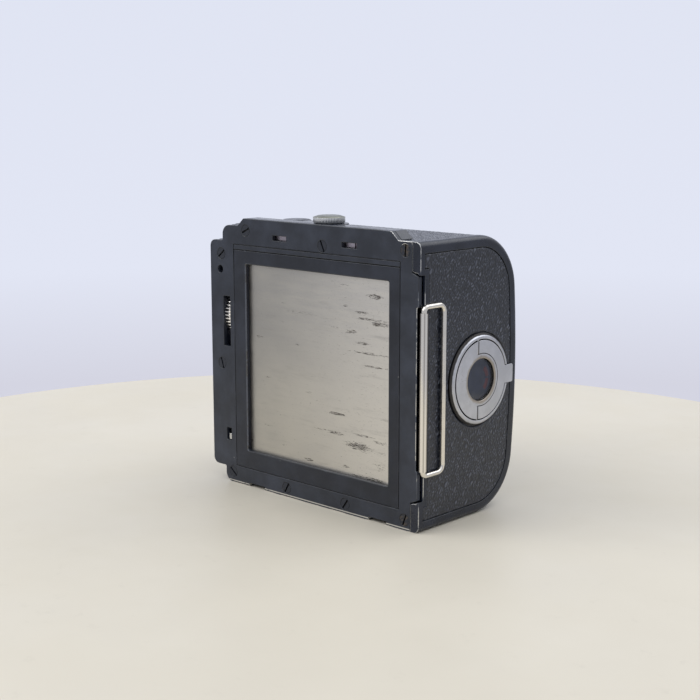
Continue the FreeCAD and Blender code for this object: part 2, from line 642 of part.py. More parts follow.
def crank_arm():
    """Folding arm with a rolled end round its pin."""
    hy, hx = crank_hinge()
    end = CRANK_Y - 9.5
    arm = slab_x(
        [(hy, -ARM_HALF, 0), (hy, ARM_HALF, 0), (end, ARM_HALF, 2.2), (end, -ARM_HALF, 2.2)],
        (CRANK_FACE + 0.1, ARM_FLOOR - 0.05),
    )
    barrel = rod(0.8, (hx, hy, -ARM_HALF), (hx, hy, ARM_HALF))
    arm = cut(arm, block((CRANK_FACE - 1, ARM_FLOOR + 1), (hy - 0.1, hy + 2), (-5, 5)))
    return cut(
        fuse([arm, barrel]),
        rod(0.43, (hx, hy, -5), (hx, hy, 5)),
        rod_x(0.75, (CRANK_FACE - 1, ARM_FLOOR + 1), CRANK_Y - KNOB_REACH, CRANK_Z),
    )


def crank_arm_pin():
    hy, hx = crank_hinge()
    reach = ARM_HALF + 0.85
    return rod(0.38, (hx, hy, -reach), (hx, hy, reach))


def crank_knob():
    """Knob that turns on the arm's free end and hides in the disc when folded."""
    y = CRANK_Y - KNOB_REACH
    body = rod_x(KNOB_RADIUS, (ARM_FLOOR, -43.9), y, CRANK_Z)
    body = body.makeFillet(0.3, edges_at(body, lambda p: p.x > -43.9 - 1e-6))
    return fuse([body, rod_x(0.7, (CRANK_FACE + 0.1, ARM_FLOOR), y, CRANK_Z)])


def counter_dial():
    dial = rod_x(COUNTER_RADIUS, (-41.9, -41.3), COUNTER_Y, COUNTER_Z)
    return fuse([dial, rod_x(1.0, (-41.3, BODY_LEFT - 0.85), COUNTER_Y, COUNTER_Z)])


def counter_bezel():
    y, z = COUNTER_Y, COUNTER_Z + COUNTER_OFFSET
    return ring_x(3.4, COUNTER_WINDOW, (FLANGE_LEFT - 0.4, FLANGE_LEFT + LEATHER), y, z)


def counter_glass():
    x = (FLANGE_LEFT - 0.1, FLANGE_LEFT + 0.8)
    return rod_x(COUNTER_WINDOW - 0.02, x, COUNTER_Y, COUNTER_Z + COUNTER_OFFSET)


def signal_bezel():
    return ring_x(2.3, FLAG_WINDOW, (FLANGE_LEFT - 0.3, FLANGE_LEFT + LEATHER), COUNTER_Y, FLAG_WINDOW_Z)


def signal_glass():
    return rod_x(FLAG_WINDOW - 0.02, (FLANGE_LEFT - 0.1, FLANGE_LEFT + 0.8), COUNTER_Y, FLAG_WINDOW_Z)


def film_signal_flag():
    """Arm with a two-colour flag behind the small window."""
    pivot = (20.5, 17.0)
    x = (-40.9, -40.4)
    boss = rod_x(1.6, (x[0], x[1]), *pivot)
    arm = slab_x([(20.5, 16.0, 0), (20.5, 18.0, 0), (14.0, 17.0, 0), (14.0, 15.0, 0)], x)
    flag = slab_x([(9.4, 12.2, 0.5), (14.6, 12.2, 0.5), (14.6, 17.6, 0.5), (9.4, 17.6, 0.5)], x)
    return fuse([boss, arm, flag]).cut(rod_x(0.65, (-42, -39), *pivot))


def signal_lever():
    """Small lever whose end shows in the front plate's lower slot."""
    tip = block((-36.9, -35.9), (0.3, 3.4), (-26.2, -24.4))
    foot = block((-37.2, -35.7), (3.2, 4.8), (-27.8, -24.4))
    return fuse([tip, foot])


# ---------------------------------------------------------------- dark slide
def roll_y():
    return SLIDE_FRONT + SLIDE_THICK - ROLL_RADIUS


def dark_slide():
    """Steel sheet whose outer end is rolled round the bail's wire."""
    back = SLIDE_FRONT + SLIDE_THICK
    sheet = slab_y(
        [
            (SLIDE_LEFT, -SLIDE_HALF, 1.5), (37.0, -SLIDE_HALF, 1.0), (38.8, ROLL_LOW, 0),
            (ROLL_X, ROLL_LOW, 0), (ROLL_X, ROLL_HIGH, 0), (38.8, ROLL_HIGH, 0),
            (37.0, SLIDE_HALF, 1.0), (SLIDE_LEFT, SLIDE_HALF, 1.5),
        ],
        (SLIDE_FRONT, back),
    )
    roll = rod(ROLL_RADIUS, (ROLL_X, roll_y(), ROLL_LOW), (ROLL_X, roll_y(), ROLL_HIGH))
    bore = rod(ROLL_RADIUS - 0.3, (ROLL_X, roll_y(), ROLL_LOW - 1), (ROLL_X, roll_y(), ROLL_HIGH + 1))
    return fuse([sheet, roll]).cut(bore)


def handle_bail():
    """Closed wire loop, one side of which turns in the dark slide's roll."""
    near, far = roll_y(), roll_y() + BAIL_REACH
    corners = [
        (near, BAIL_LOW, BAIL_BEND_NEAR), (far, BAIL_LOW, BAIL_BEND_FAR),
        (far, BAIL_HIGH, BAIL_BEND_FAR), (near, BAIL_HIGH, BAIL_BEND_NEAR),
    ]
    path = corner_wire([(V(ROLL_X, cy, cz), bend) for cy, cz, bend in corners])
    pieces = []
    for edge in path.Edges:
        start = edge.valueAt(edge.FirstParameter)
        if edge.Curve.TypeId == "Part::GeomLine":
            end = edge.valueAt(edge.LastParameter)
            pieces.append(Part.makeCylinder(BAIL_WIRE, (end - start).Length, start, end - start))
        else:
            circle = Part.Circle(start, edge.tangentAt(edge.FirstParameter), BAIL_WIRE)
            disc = Part.Face(Part.Wire(circle.toShape()))
            sweep = math.degrees(edge.LastParameter - edge.FirstParameter)
            pieces.append(disc.revolve(edge.Curve.Center, edge.Curve.Axis, sweep))
    return fuse(pieces)


# ---------------------------------------------------------------- film holder's side cover
def inset_outline(shrink):
    """Outline of the side cover's leather: it steps back beside the dark slide."""
    high = 36.3 - shrink
    rear = round_back(high, 39.9 - shrink, 13.2 - shrink, CROWN)
    corner, middle, step = 1.8 + shrink, 3.5 + shrink, 32.2 + shrink
    return [
        (corner, -high, 0), *rear, (corner, high, 0),
        (corner, step, 0), (middle, step, 0), (middle, -step, 0), (corner, -step, 0),
    ]


def side_cover():
    """Tray-shaped end cover. Its corners reach the camera face above and below the dark slide."""
    x = (BODY_RIGHT + GAP, SIDE)
    shell = body_slab(x, 0, 0)
    shell = shell.makeFillet(1.8, edges_at(shell, lambda p: p.x > SIDE - 1e-6 and p.y > 1e-3 or (
        p.x > SIDE - 1e-6 and abs(abs(p.z) - HALF_HEIGHT) < 1e-6)))
    wall, skin = 1.3, 1.1
    hollow = body_slab((x[0] - 1, SIDE - skin), 3.4, wall)
    slope = [
        (BODY_RIGHT - 1, -TAB_HALF - 0.75, 0), (SIDE + 1, -EDGE_HALF + 0.02, 0),
        (SIDE + 1, EDGE_HALF - 0.02, 0), (BODY_RIGHT - 1, TAB_HALF + 0.75, 0),
    ]
    return cut(
        shell, hollow,
        slab_y(slope, (-1, SLIDE_FRONT + SLIDE_THICK + 0.1)),
        block((x[0] - 1, SIDE - skin + 0.1), (-1, 2.4), (-TAB_HALF, TAB_HALF)),
        slab_x(inset_outline(0), (SIDE - 0.5, SIDE + 1)),
        rod_x(KEY_HUB + 0.1, (30, 45), KEY_Y, KEY_Z),
    )


def side_leather():
    sheet = slab_x(inset_outline(0.08), (SIDE - 0.5, SIDE - 0.05))
    return sheet.cut(rod_x(KEY_RING + 0.25, (30, 45), KEY_Y, KEY_Z))


# ---------------------------------------------------------------- key
def key_dish():
    """Round dish with a bevelled rim, notched for the flap's tab."""
    top = KEY_FACE - 0.05
    section = [
        (KEY_HUB, KEY_FLOOR), (KEY_RING, KEY_FLOOR), (KEY_RING, 39.5), (12.1, top), (KEY_RIM, top),
        (KEY_RIM, KEY_STEP), (KEY_HUB, KEY_STEP),
    ]
    points = [V(px, KEY_Y + r, KEY_Z) for r, px in section]
    dish = Part.Face(Part.makePolygon(points + points[:1])).revolve(V(0, KEY_Y, KEY_Z), V(1, 0, 0), 360)
    half = FLAP_TAB_HALF + 0.15
    notch = block((KEY_STEP, 45), (KEY_Y + 5, KEY_Y + 20), (KEY_Z - half, KEY_Z + half))
    return cut(dish, notch, *flap_pin_rods(FLAP_PIN + 0.02, 11.0, 11.75))


def behind_hinge(inner, outer, edge, x):
    """Part of a flat ring that lies behind the flap's hinge."""
    ring = ring_x(outer, inner, x, KEY_Y, KEY_Z)
    return ring.common(block((x[0] - 1, x[1] + 1), (edge, KEY_Y + 30), (KEY_Z - 30, KEY_Z + 30)))


def flap_pin_rods(radius, inner, outer):
    rods = []
    for side in (1, -1):
        start = (FLAP_HINGE_X, FLAP_HINGE_Y, KEY_Z + side * inner)
        rods.append(rod(radius, start, (FLAP_HINGE_X, FLAP_HINGE_Y, KEY_Z + side * outer)))
    return rods


def key_face():
    """Front half of the key's face, with the ring round its window."""
    face = ring_x(KEY_DISC, KEY_WINDOW, (KEY_STEP, KEY_FACE), KEY_Y, KEY_Z)
    rim = edges_at(face, lambda p: p.x > KEY_FACE - 1e-6 and math.hypot(p.y - KEY_Y, p.z - KEY_Z) < 7)
    face = face.makeFillet(0.25, rim)
    knuckle = (KEY_FACE - KEY_STEP) / 2
    depth = (KEY_STEP - 1, KEY_FACE + 1)
    bed = behind_hinge(FLAP_INNER - 0.12, KEY_DISC + 5, FLAP_HINGE_Y - knuckle - 0.1, depth)
    return cut(face, bed, *flap_pin_rods(FLAP_PIN + 0.02, 6.2, 7.6))


def key_flap():
    """C-shaped flap with a tab, hinged across the dish."""
    x = (KEY_STEP + 0.05, KEY_FACE)
    knuckle = (x[1] - x[0]) / 2
    middle = (x[0] + x[1]) / 2
    arc = behind_hinge(FLAP_INNER, KEY_DISC, FLAP_HINGE_Y, x)
    tab = slab_x(
        [
            (KEY_Y + 10.5, KEY_Z - FLAP_TAB_HALF, 0), (KEY_Y + FLAP_TAB, KEY_Z - FLAP_TAB_HALF, 0.6),
            (KEY_Y + FLAP_TAB, KEY_Z + FLAP_TAB_HALF, 0.6), (KEY_Y + 10.5, KEY_Z + FLAP_TAB_HALF, 0),
        ],
        x,
    )
    knuckles = []
    for side in (1, -1):
        start, end = KEY_Z + side * (FLAP_INNER - 0.05), KEY_Z + side * (KEY_DISC - 0.2)
        knuckles.append(rod(knuckle, (middle, FLAP_HINGE_Y, start), (middle, FLAP_HINGE_Y, end)))
    return cut(fuse([arc, tab, *knuckles]), *flap_pin_rods(FLAP_PIN + 0.03, 6.0, 12.0))


def flap_pins():
    return flap_pin_rods(FLAP_PIN, 6.4, 11.7)


def key_hub():
    """Sleeve that carries the key through the cover's skin."""
    return ring_x(KEY_HUB, KEY_HUB - 0.4, (37.2, KEY_STEP), KEY_Y, KEY_Z)


def lock_cam():
    """Two-lobed plate that the key turns behind the cover's skin."""
    x = (37.2, 38.0)
    lobes = slab_x(
        [
            (KEY_Y - 3.5, KEY_Z - 16, 3), (KEY_Y + 3.5, KEY_Z - 16, 3),
            (KEY_Y + 3.5, KEY_Z + 16, 3), (KEY_Y - 3.5, KEY_Z + 16, 3),
        ],
        x,
    )
    return fuse([lobes, rod_x(8.5, x, KEY_Y, KEY_Z)]).cut(rod_x(KEY_HUB, (30, 45), KEY_Y, KEY_Z))


def window_glass():
    return rod_x(KEY_WINDOW, (KEY_STEP + 0.05, KEY_STEP + 0.45), KEY_Y, KEY_Z)


def window_dial():
    """Dial behind the key's window, on a stem from the film holder's plate."""
    back, face = 38.7, 39.3
    dial = rod_x(5.8, (back, face), KEY_Y, KEY_Z)
    return fuse([dial, rod_x(2.0, (HOLDER_PLATE + HOLDER_PLATE_THICK, back), KEY_Y, KEY_Z)])


# ---------------------------------------------------------------- film holder
def holder_plate(x):
    """Side plate of the film holder, which fits the casing's inside."""
    slack = LEATHER_BED + WALL + 0.6
    return body_slab(x, 6.0, slack)


def holder_plate_outer():
    x = (HOLDER_PLATE, HOLDER_PLATE + HOLDER_PLATE_THICK)
    through = (x[0] - 1, x[1] + 1)
    return cut(holder_plate(x), *[rod_x(RIVET + 0.02, through, SPOOL_Y, side * SPOOL_Z) for side in (1, -1)])


def holder_plate_inner():
    x = (-HOLDER_PLATE - HOLDER_PLATE_THICK, -HOLDER_PLATE)
    through = (x[0] - 1, x[1] + 1)
    return cut(
        holder_plate(x),
        rod_x(5.4, through, SPOOL_Y, SPOOL_Z),
        rod_x(RIVET + 0.02, through, SPOOL_Y, -SPOOL_Z),
    )


def holder_posts():
    """Posts between the outer plate and the side cover."""
    x = (HOLDER_PLATE + HOLDER_PLATE_THICK, SIDE - 1.1)
    return [rod_x(2.0, x, py, pz) for py in (10.0, 33.0) for pz in (-29.0, 29.0)]


def holder_web():
    """Channel that joins the two plates behind the pressure plate."""
    x = (-HOLDER_PLATE, HOLDER_PLATE)
    front, back, high, sheet = 11.0, 14.5, 12.0, 0.8
    outer = block(x, (front, back), (-high, high))
    return outer.cut(block((x[0] - 1, x[1] + 1), (front + sheet, back + 1), (-high + sheet, high - sheet)))


def spool_pivots():
    """Pins that the spools turn on, riveted into the plates."""
    outer, tip = HOLDER_PLATE + HOLDER_PLATE_THICK, 29.6
    pivots = []
    for end, side in ((1, 1), (1, -1), (-1, -1)):
        y, z = SPOOL_Y, side * SPOOL_Z
        pin = rod(PIVOT, (end * tip, y, z), (end * HOLDER_PLATE, y, z))
        rivet = rod(RIVET, (end * HOLDER_PLATE, y, z), (end * outer, y, z))
        pivots.append(fuse([pin, rivet]))
    return pivots


def take_up_spool():
    """Standard film spool: slotted core and two flanges."""
    core = rod_x(SPOOL_CORE, (-SPOOL_HALF, SPOOL_HALF), SPOOL_Y, SPOOL_Z)
    flanges = []
    for low, high in ((-SPOOL_HALF, -SPOOL_HALF + 1.0), (SPOOL_HALF - 1.0, SPOOL_HALF)):
        flanges.append(rod_x(SPOOL_FLANGE, (low, high), SPOOL_Y, SPOOL_Z))
    bores = [rod_x(SPOOL_BORE, (low, high), SPOOL_Y, SPOOL_Z) for low, high in ((-32, -28.2), (28.2, 32))]
    keyway = block((-32, -28.2), (SPOOL_Y - 0.9, SPOOL_Y + 0.9), (SPOOL_Z - 5.2, SPOOL_Z + 5.2))
    paper_slit = block((-18, 18), (SPOOL_Y - 0.6, SPOOL_Y + 0.6), (SPOOL_Z - 8, SPOOL_Z + 8))
    return cut(fuse([core, *flanges]), *bores, keyway, paper_slit)


ROLLER_Y, ROLLER_Z, ROLLER_RADIUS, ROLLER_PIN = 10.6, 33.6, 2.0, 0.8


def guide_roller(side):
    """Hollow roller that the film turns round."""
    x = (-HOLDER_PLATE + 0.3, HOLDER_PLATE - 0.3)
    return ring_x(ROLLER_RADIUS, ROLLER_PIN + 0.06, x, ROLLER_Y, side * ROLLER_Z)


def roller_axles():
    return [rod_x(ROLLER_PIN, (-HOLDER_PLATE, HOLDER_PLATE), ROLLER_Y, side * ROLLER_Z) for side in (1, -1)]


PRESSURE_FRONT, PRESSURE_THICK = 5.6, 0.8


def pressure_plate():
    """Flat plate behind the film, with its upper and lower edges bent back."""
    y0, y1 = PRESSURE_FRONT, PRESSURE_FRONT + PRESSURE_THICK
    profile = [(y0, -28.6), (y0, 28.6), (y0 + 1.6, 30.6), (y1 + 1.5, 30.2), (y1, 28.2), (y1, -28.2),
               (y1 + 1.5, -30.2), (y0 + 1.6, -30.6)]
    return slab_x([(py, pz, 0) for py, pz in profile], (-30.4, 30.4))


def pressure_springs():
    """Two bowed leaf springs that push the pressure plate forward."""
    reach, sheet, end, half = 9.0, 0.35, 0.4, 4
    front, back = PRESSURE_FRONT + PRESSURE_THICK + 0.05, 10.95
    springs = []
    for middle in (-15.5, 15.5):
        def bow(reach, front):
            ends = [V(middle + side * reach, back, -half) for side in (-1, 1)]
            return ends, Part.Arc(ends[0], V(middle, front, -half), ends[1]).toShape()

        outer_ends, outer = bow(reach, front)
        inner_ends, inner = bow(reach - end, front + sheet)
        sides = [Part.LineSegment(a, b).toShape() for a, b in zip(outer_ends, inner_ends)]
        wire = Part.Wire(Part.__sortEdges__([outer, inner, *sides]))
        springs.append(Part.Face(wire).extrude(V(0, 0, 2 * half)))
    return springs


# ---------------------------------------------------------------- export
NODES = {
    "front_plate": front_plate,
    "aperture_panel": aperture_panel,
    "front_screws": front_screws,
    "front_frame": front_frame,
    "light_trap_pad": light_trap_pad,
    "film_rails": film_rails,
    "catch_housing": catch_housing,
    "catch_bar": catch_bar,
    "catch_stem": catch_stem,
    "release_button": release_button,
    "catch_spring": catch_spring,
    "top_boss": top_boss,
    "casing": casing,
    "drive_wall": drive_wall,
    "body_leather": body_leather,
    "gear_studs": gear_studs,
    "crank_gear": crank_gear,
    "drive_gear": drive_gear,
    "idler_gear": idler_gear,
    "take_up_gear": take_up_gear,
    "take_up_dog": take_up_dog,
    "gear_plate": gear_plate,
    "gear_plate_screws": gear_plate_screws,
    "gear_cover": gear_cover,
    "cover_leather": cover_leather,
    "cover_screws": cover_screws,
    "crank_escutcheon": crank_escutcheon,
    "crank_shaft": crank_shaft,
    "crank_disc": crank_disc,
    "crank_arm": crank_arm,
    "crank_arm_pin": crank_arm_pin,
    "crank_knob": crank_knob,
    "counter_dial": counter_dial,
    "indicator_bezels": lambda: [counter_bezel(), signal_bezel()],
    "indicator_glasses": lambda: [counter_glass(), signal_glass()],
    "film_signal_flag": film_signal_flag,
    "signal_lever": signal_lever,
    "dark_slide": dark_slide,
    "handle_bail": handle_bail,
    "side_cover": side_cover,
    "side_leather": side_leather,
    "key_dish": key_dish,
    "key_face": key_face,
    "key_flap": key_flap,
    "flap_pins": flap_pins,
    "key_hub_and_cam": lambda: [key_hub(), lock_cam()],
    "window_glass": window_glass,
    "window_dial": window_dial,
    "holder_plates": lambda: [holder_plate_outer(), holder_plate_inner()],
    "holder_posts": holder_posts,
    "holder_web": holder_web,
    "spool_pivots": spool_pivots,
    "take_up_spool": take_up_spool,
    "upper_guide_roller": lambda: guide_roller(1),
    "lower_guide_roller": lambda: guide_roller(-1),
    "roller_axles": roller_axles,
    "pressure_plate": pressure_plate,
    "pressure_springs": pressure_springs,
}


def main():
    os.makedirs(OUT, exist_ok=True)
    for name, make in NODES.items():
        made = make()
        shape = Part.makeCompound(made) if isinstance(made, list) else made
        if not shape.isValid() or not shape.Solids:
            raise ValueError(f"{name} is not a valid solid")
        shape.exportStep(os.path.join(OUT, name + ".step"))
        print(f"{name}: {len(shape.Solids)} solid(s), {shape.Volume:.1f} mm3")
    print(len(NODES), "nodes")


main()
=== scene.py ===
import math

import bmesh
import bpy
import numpy as np
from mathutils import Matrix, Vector


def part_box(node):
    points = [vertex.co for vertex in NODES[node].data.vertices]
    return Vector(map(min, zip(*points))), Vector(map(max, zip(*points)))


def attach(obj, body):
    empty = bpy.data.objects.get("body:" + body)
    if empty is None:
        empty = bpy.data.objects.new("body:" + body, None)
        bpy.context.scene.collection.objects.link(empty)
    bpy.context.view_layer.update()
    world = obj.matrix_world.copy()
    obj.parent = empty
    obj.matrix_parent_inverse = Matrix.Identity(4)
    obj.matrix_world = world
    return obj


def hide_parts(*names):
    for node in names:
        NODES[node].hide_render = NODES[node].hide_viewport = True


# Roll-film magazine in the CAD's frame. +X is the film holder's side, -Y faces the camera body and +Z is
# up. Blender works in metres; the lengths named here are in millimetres, and MM turns them into metres.

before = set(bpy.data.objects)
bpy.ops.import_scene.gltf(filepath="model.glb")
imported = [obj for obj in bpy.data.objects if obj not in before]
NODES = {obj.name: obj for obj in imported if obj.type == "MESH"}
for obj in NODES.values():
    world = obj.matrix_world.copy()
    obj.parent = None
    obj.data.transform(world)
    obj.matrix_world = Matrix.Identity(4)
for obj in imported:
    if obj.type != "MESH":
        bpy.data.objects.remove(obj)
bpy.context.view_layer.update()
MM = 0.001
PER_METRE = 1000
RNG = np.random.default_rng(7)

# ---------------------------------------------------------------- places, in millimetres
KEY_Y, KEY_Z = 25.3, -0.5
KEY_RING, KEY_FACE_EDGE = 13.0, 11.1
FLAP_HINGE_Y, FLAP_INNER = 23.95, 7.4
# middle of the rolled end, and the direction across it square to the camera's view, along which its shading
# is painted
ROLL_MIDDLE, ROLL_ACROSS = (40.15, 0.65, 0.0), (0.727, 0.686, 0.0)
SIDE_SURFACE = 39.35
REAR_RADIUS, CROWN, CROWN_SLOPE = 16.35, 264.95, 0.08
BODY_HALF, BODY_BACK, BODY_FRONT = 39.35, 43.35, 2.65
BODY_LEFT, BODY_RIGHT = -37.45, 36.25
COVER_SURFACE = -43.85
LEATHER = 0.45                       # thickness of the leather
LEATHER_GRAIN = 0.16                 # depth of its valleys
LIP_HEIGHT = -38.8


# ---------------------------------------------------------------- material helpers
class Paint:
    """Node tree of one material, with short calls for the nodes that it needs."""

    def __init__(self, name):
        self.material = bpy.data.materials.new(name)
        self.material.use_nodes = True
        self.tree = self.material.node_tree
        self.tree.nodes.clear()
        self.place = self.add("ShaderNodeTexCoord").outputs["Object"]

    def add(self, kind, inputs=None, **settings):
        node = self.tree.nodes.new(kind)
        for key, value in settings.items():
            setattr(node, key, value)
        for key, value in (inputs or {}).items():
            if isinstance(value, bpy.types.NodeSocket):
                self.tree.links.new(value, node.inputs[key])
            else:
                node.inputs[key].default_value = value
        return node

    def scaled(self, scale, turn=(0, 0, 0)):
        """Object coordinates in millimetres times scale, after a turn in degrees."""
        inputs = {"Vector": self.place, "Scale": Vector(scale) * PER_METRE}
        inputs["Rotation"] = [math.radians(a) for a in turn]
        return self.add("ShaderNodeMapping", inputs).outputs[0]

    def noise(self, scale, detail=3.0, rough=0.55, turn=(0, 0, 0)):
        """Noise, with scale in waves per millimetre, one number or three."""
        scale = (scale,) * 3 if isinstance(scale, (int, float)) else scale
        inputs = {"Vector": self.scaled(scale, turn), "Scale": 1.0, "Detail": detail, "Roughness": rough}
        return self.add("ShaderNodeTexNoise", inputs).outputs["Fac"]

    def cells(self, scale):
        """Distance from the nearest of scattered points, with scale in points per millimetre."""
        inputs = {"Vector": self.scaled((scale,) * 3), "Scale": 1.0}
        return self.add("ShaderNodeTexVoronoi", inputs, feature="F1").outputs["Distance"]

    def step(self, value, low, high, to_low=0.0, to_high=1.0):
        """Smooth step of value from low to high."""
        inputs = {"Value": value, "From Min": low, "From Max": high, "To Min": to_low, "To Max": to_high}
        node = self.add("ShaderNodeMapRange", inputs, interpolation_type="SMOOTHSTEP")
        return node.outputs["Result"]

    def math(self, operation, first, second=0.0):
        return self.add("ShaderNodeMath", {0: first, 1: second}, operation=operation).outputs[0]

    def mix(self, factor, first, second):
        """Colour between first and second."""
        first = (*first, 1.0) if isinstance(first, tuple) else first
        second = (*second, 1.0) if isinstance(second, tuple) else second
        node = self.add("ShaderNodeMix", data_type="RGBA")
        for index, value in ((0, factor), (6, first), (7, second)):
            if isinstance(value, bpy.types.NodeSocket):
                self.tree.links.new(value, node.inputs[index])
            else:
                node.inputs[index].default_value = value
        return node.outputs[2]

    def bump(self, height, distance, strength=1.0, normal=None):
        """Bump whose height is in units of distance, in millimetres."""
        inputs = {"Height": height, "Distance": distance * MM, "Strength": strength}
        if normal:
            inputs["Normal"] = normal
        return self.add("ShaderNodeBump", inputs).outputs[0]

    def axis(self, name):
        """One object coordinate, in metres."""
        return self.add("ShaderNodeSeparateXYZ", {"Vector": self.place}).outputs[name]

    def near(self, middle, half):
        """Distance from middle in units of half, both in millimetres. A half of 0 leaves its axis out."""
        inputs = {"Vector": self.place, "Scale": [PER_METRE / h if h else 0 for h in half]}
        inputs["Location"] = [-m / h if h else 0 for m, h in zip(middle, half)]
        place = self.add("ShaderNodeMapping", inputs).outputs[0]
        return self.add("ShaderNodeVectorMath", {0: place}, operation="LENGTH").outputs["Value"]

    def finish(self, **inputs):
        """Principled shader with these inputs, and the finished material."""
        names = {
            "color": "Base Color", "rough": "Roughness", "metal": "Metallic", "normal": "Normal",
            "specular": "Specular IOR Level",
        }
        given = {}
        for key, value in inputs.items():
            given[names[key]] = (*value, 1.0) if isinstance(value, tuple) else value
        shader = self.add("ShaderNodeBsdfPrincipled", given)
        out = self.add("ShaderNodeOutputMaterial")
        self.tree.links.new(shader.outputs[0], out.inputs["Surface"])
        return self.material


def enamel(name, color, rough, worn=0.0, lip=False):
    """Satin black paint with a fine stipple, faint mottling, dust and hairline scratches. A lip is a
    line just above the plate's lowest edge, which is rubbed bright."""
    p = Paint(name)
    lighter = tuple(c * 1.9 + 0.004 for c in color)
    blotch = p.step(p.noise(0.09, 4, 0.6), 0.35, 0.75)
    tone = p.mix(blotch, color, lighter)
    scuffs = p.step(p.noise((0.25, 0.25, 2.2), 5, 0.7), 0.62, 0.74)
    tone = p.mix(p.math("MULTIPLY", scuffs, 0.25 + worn), tone, (0.07, 0.075, 0.085))
    dust = p.step(p.cells(0.32), 0.055, 0.035)
    lint = p.step(p.noise(0.05, 2), 0.52, 0.62)
    tone = p.mix(p.math("MULTIPLY", dust, lint), tone, (0.28, 0.28, 0.27))
    gloss = p.step(p.noise(0.35, 4, 0.65), 0.3, 0.75, rough - 0.05, rough + 0.09)
    stipple = p.bump(p.noise(6.0, 2, 0.5), 0.006, 0.6)
    normal = p.bump(scuffs, 0.01, 0.3, stipple)
    if not lip:
        return p.finish(color=tone, rough=gloss, normal=normal, specular=0.42)
    above = p.math("SUBTRACT", p.axis("Z"), LIP_HEIGHT * MM)
    bare = p.step(p.math("ABSOLUTE", above), 0.18 * MM, 0.1 * MM)
    bare = p.math("MULTIPLY", bare, p.step(p.noise((0.12, 0.12, 0.6), 5, 0.7), 0.36, 0.44))
    tone = p.mix(bare, tone, (0.62, 0.6, 0.55))
    shine = p.math("MULTIPLY", bare, 0.6)
    return p.finish(color=tone, metal=shine, rough=gloss, normal=normal, specular=0.42)


def worn_and_highlit_edge(name, paint, metal, amount, rubbed_and_glints):
    """Thinned paint worn through to bright metal in the listed places, some of which are painted highlight
    lines.
    """
    p = Paint(name)
    rub = p.noise(0.16, 5, 0.7)
    for middle, half in rubbed_and_glints:
        rub = p.math("ADD", rub, p.step(p.near(middle, half), 1.15, 0.75, 0.0, 0.34))
    bare = p.step(rub, 0.66 - amount, 0.74 - amount)
    thin = p.step(rub, 0.40 - amount, 0.66 - amount)
    tone = p.mix(thin, paint, tuple(c * 3.5 + 0.02 for c in paint))
    tone = p.mix(bare, tone, metal)
    return p.finish(color=tone, metal=p.math("MULTIPLY", bare, 0.9), rough=p.step(rub, 0.3, 0.8, 0.42, 0.27))


def screw_material():
    """Screws painted with the plate, with painted shade in their slots, and the heads by the right corners
    worn brown.
    """
    p = Paint("screw_painted")
    worn = p.step(p.near((34, 0, 0), (4, 0, 1000)), 1.0, 0.8)
    patch = p.step(p.noise(0.8, 4, 0.7), 0.45, 0.62)
    tone = p.mix(p.step(p.noise(0.7, 3), 0.3, 0.7), (0.0145, 0.0178, 0.027), (0.019, 0.0225, 0.032))
    tone = p.mix(p.math("MULTIPLY", worn, patch), tone, (0.07, 0.055, 0.042))
    # painted shade: the slots turn near black below 0.22 mm
    tone = p.mix(p.step(p.axis("Y"), 0.22 * MM, 0.4 * MM), tone, (0.0015, 0.0015, 0.002))
    gloss = p.step(p.noise(1.2, 3), 0.3, 0.7, 0.38, 0.5)
    return p.finish(color=tone, rough=gloss, normal=p.bump(p.noise(5.0, 2), 0.005, 0.5), specular=0.4)


def metal(name, color, rough, grain=(1.0, 1.0, 1.0), stain=0.25):
    """Bare metal with a grain, fine scratches, smudges and dull spots."""
    p = Paint(name)
    dull = tuple(c * 0.45 for c in color)
    smudge = p.step(p.noise(0.22, 4, 0.6), 0.42, 0.8)
    tone = p.mix(p.math("MULTIPLY", smudge, stain), color, dull)
    pits = p.step(p.cells(1.3), 0.13, 0.07)
    where = p.step(p.noise(0.12, 3), 0.5, 0.62)
    tone = p.mix(p.math("MULTIPLY", p.math("MULTIPLY", pits, where), stain * 1.6), tone, dull)
    lines = p.noise(tuple(5.0 * g for g in grain), 3, 0.7)
    gloss = p.step(p.noise(0.5, 5, 0.7), 0.25, 0.8, rough - 0.05, rough + 0.1)
    return p.finish(color=tone, metal=1.0, rough=gloss, normal=p.bump(lines, 0.004, 0.5))


def leather_material(name, rough):
    """Black pebbled leather with finer wrinkles on each pebble; painted shade darkens its valleys and
    painted highlights light its tops.
    """
    p = Paint(name)
    height = p.add("ShaderNodeAttribute", attribute_name="pebble").outputs["Fac"]
    patch = p.step(p.noise(0.07, 3, 0.5), 0.3, 0.7)
    # painted shade and light: low is the valleys' darker tone, high the pebble tops' lighter tone
    low = p.mix(patch, (0.0065, 0.0084, 0.0138), (0.0083, 0.0106, 0.017))
    high = p.mix(patch, (0.0245, 0.0292, 0.045), (0.0295, 0.035, 0.053))
    tone = p.mix(p.step(height, 0.1, 0.8), low, high)
    # painted highlights: bright bluish spots on the tallest pebbles
    rubbed_and_glints = p.math("MULTIPLY", p.step(height, 0.66, 0.86), p.step(p.noise(0.8, 3, 0.6), 0.3, 0.6, 0.3, 0.9))
    tone = p.mix(rubbed_and_glints, tone, (0.098, 0.11, 0.145))
    gloss = p.step(p.noise(0.9, 4, 0.6), 0.3, 0.75, rough, rough + 0.18)
    wrinkles = p.bump(p.noise((2.6, 2.6, 2.6), 3, 0.6), 0.05, 0.6)
    return p.finish(color=tone, rough=gloss, normal=wrinkles, specular=0.6)


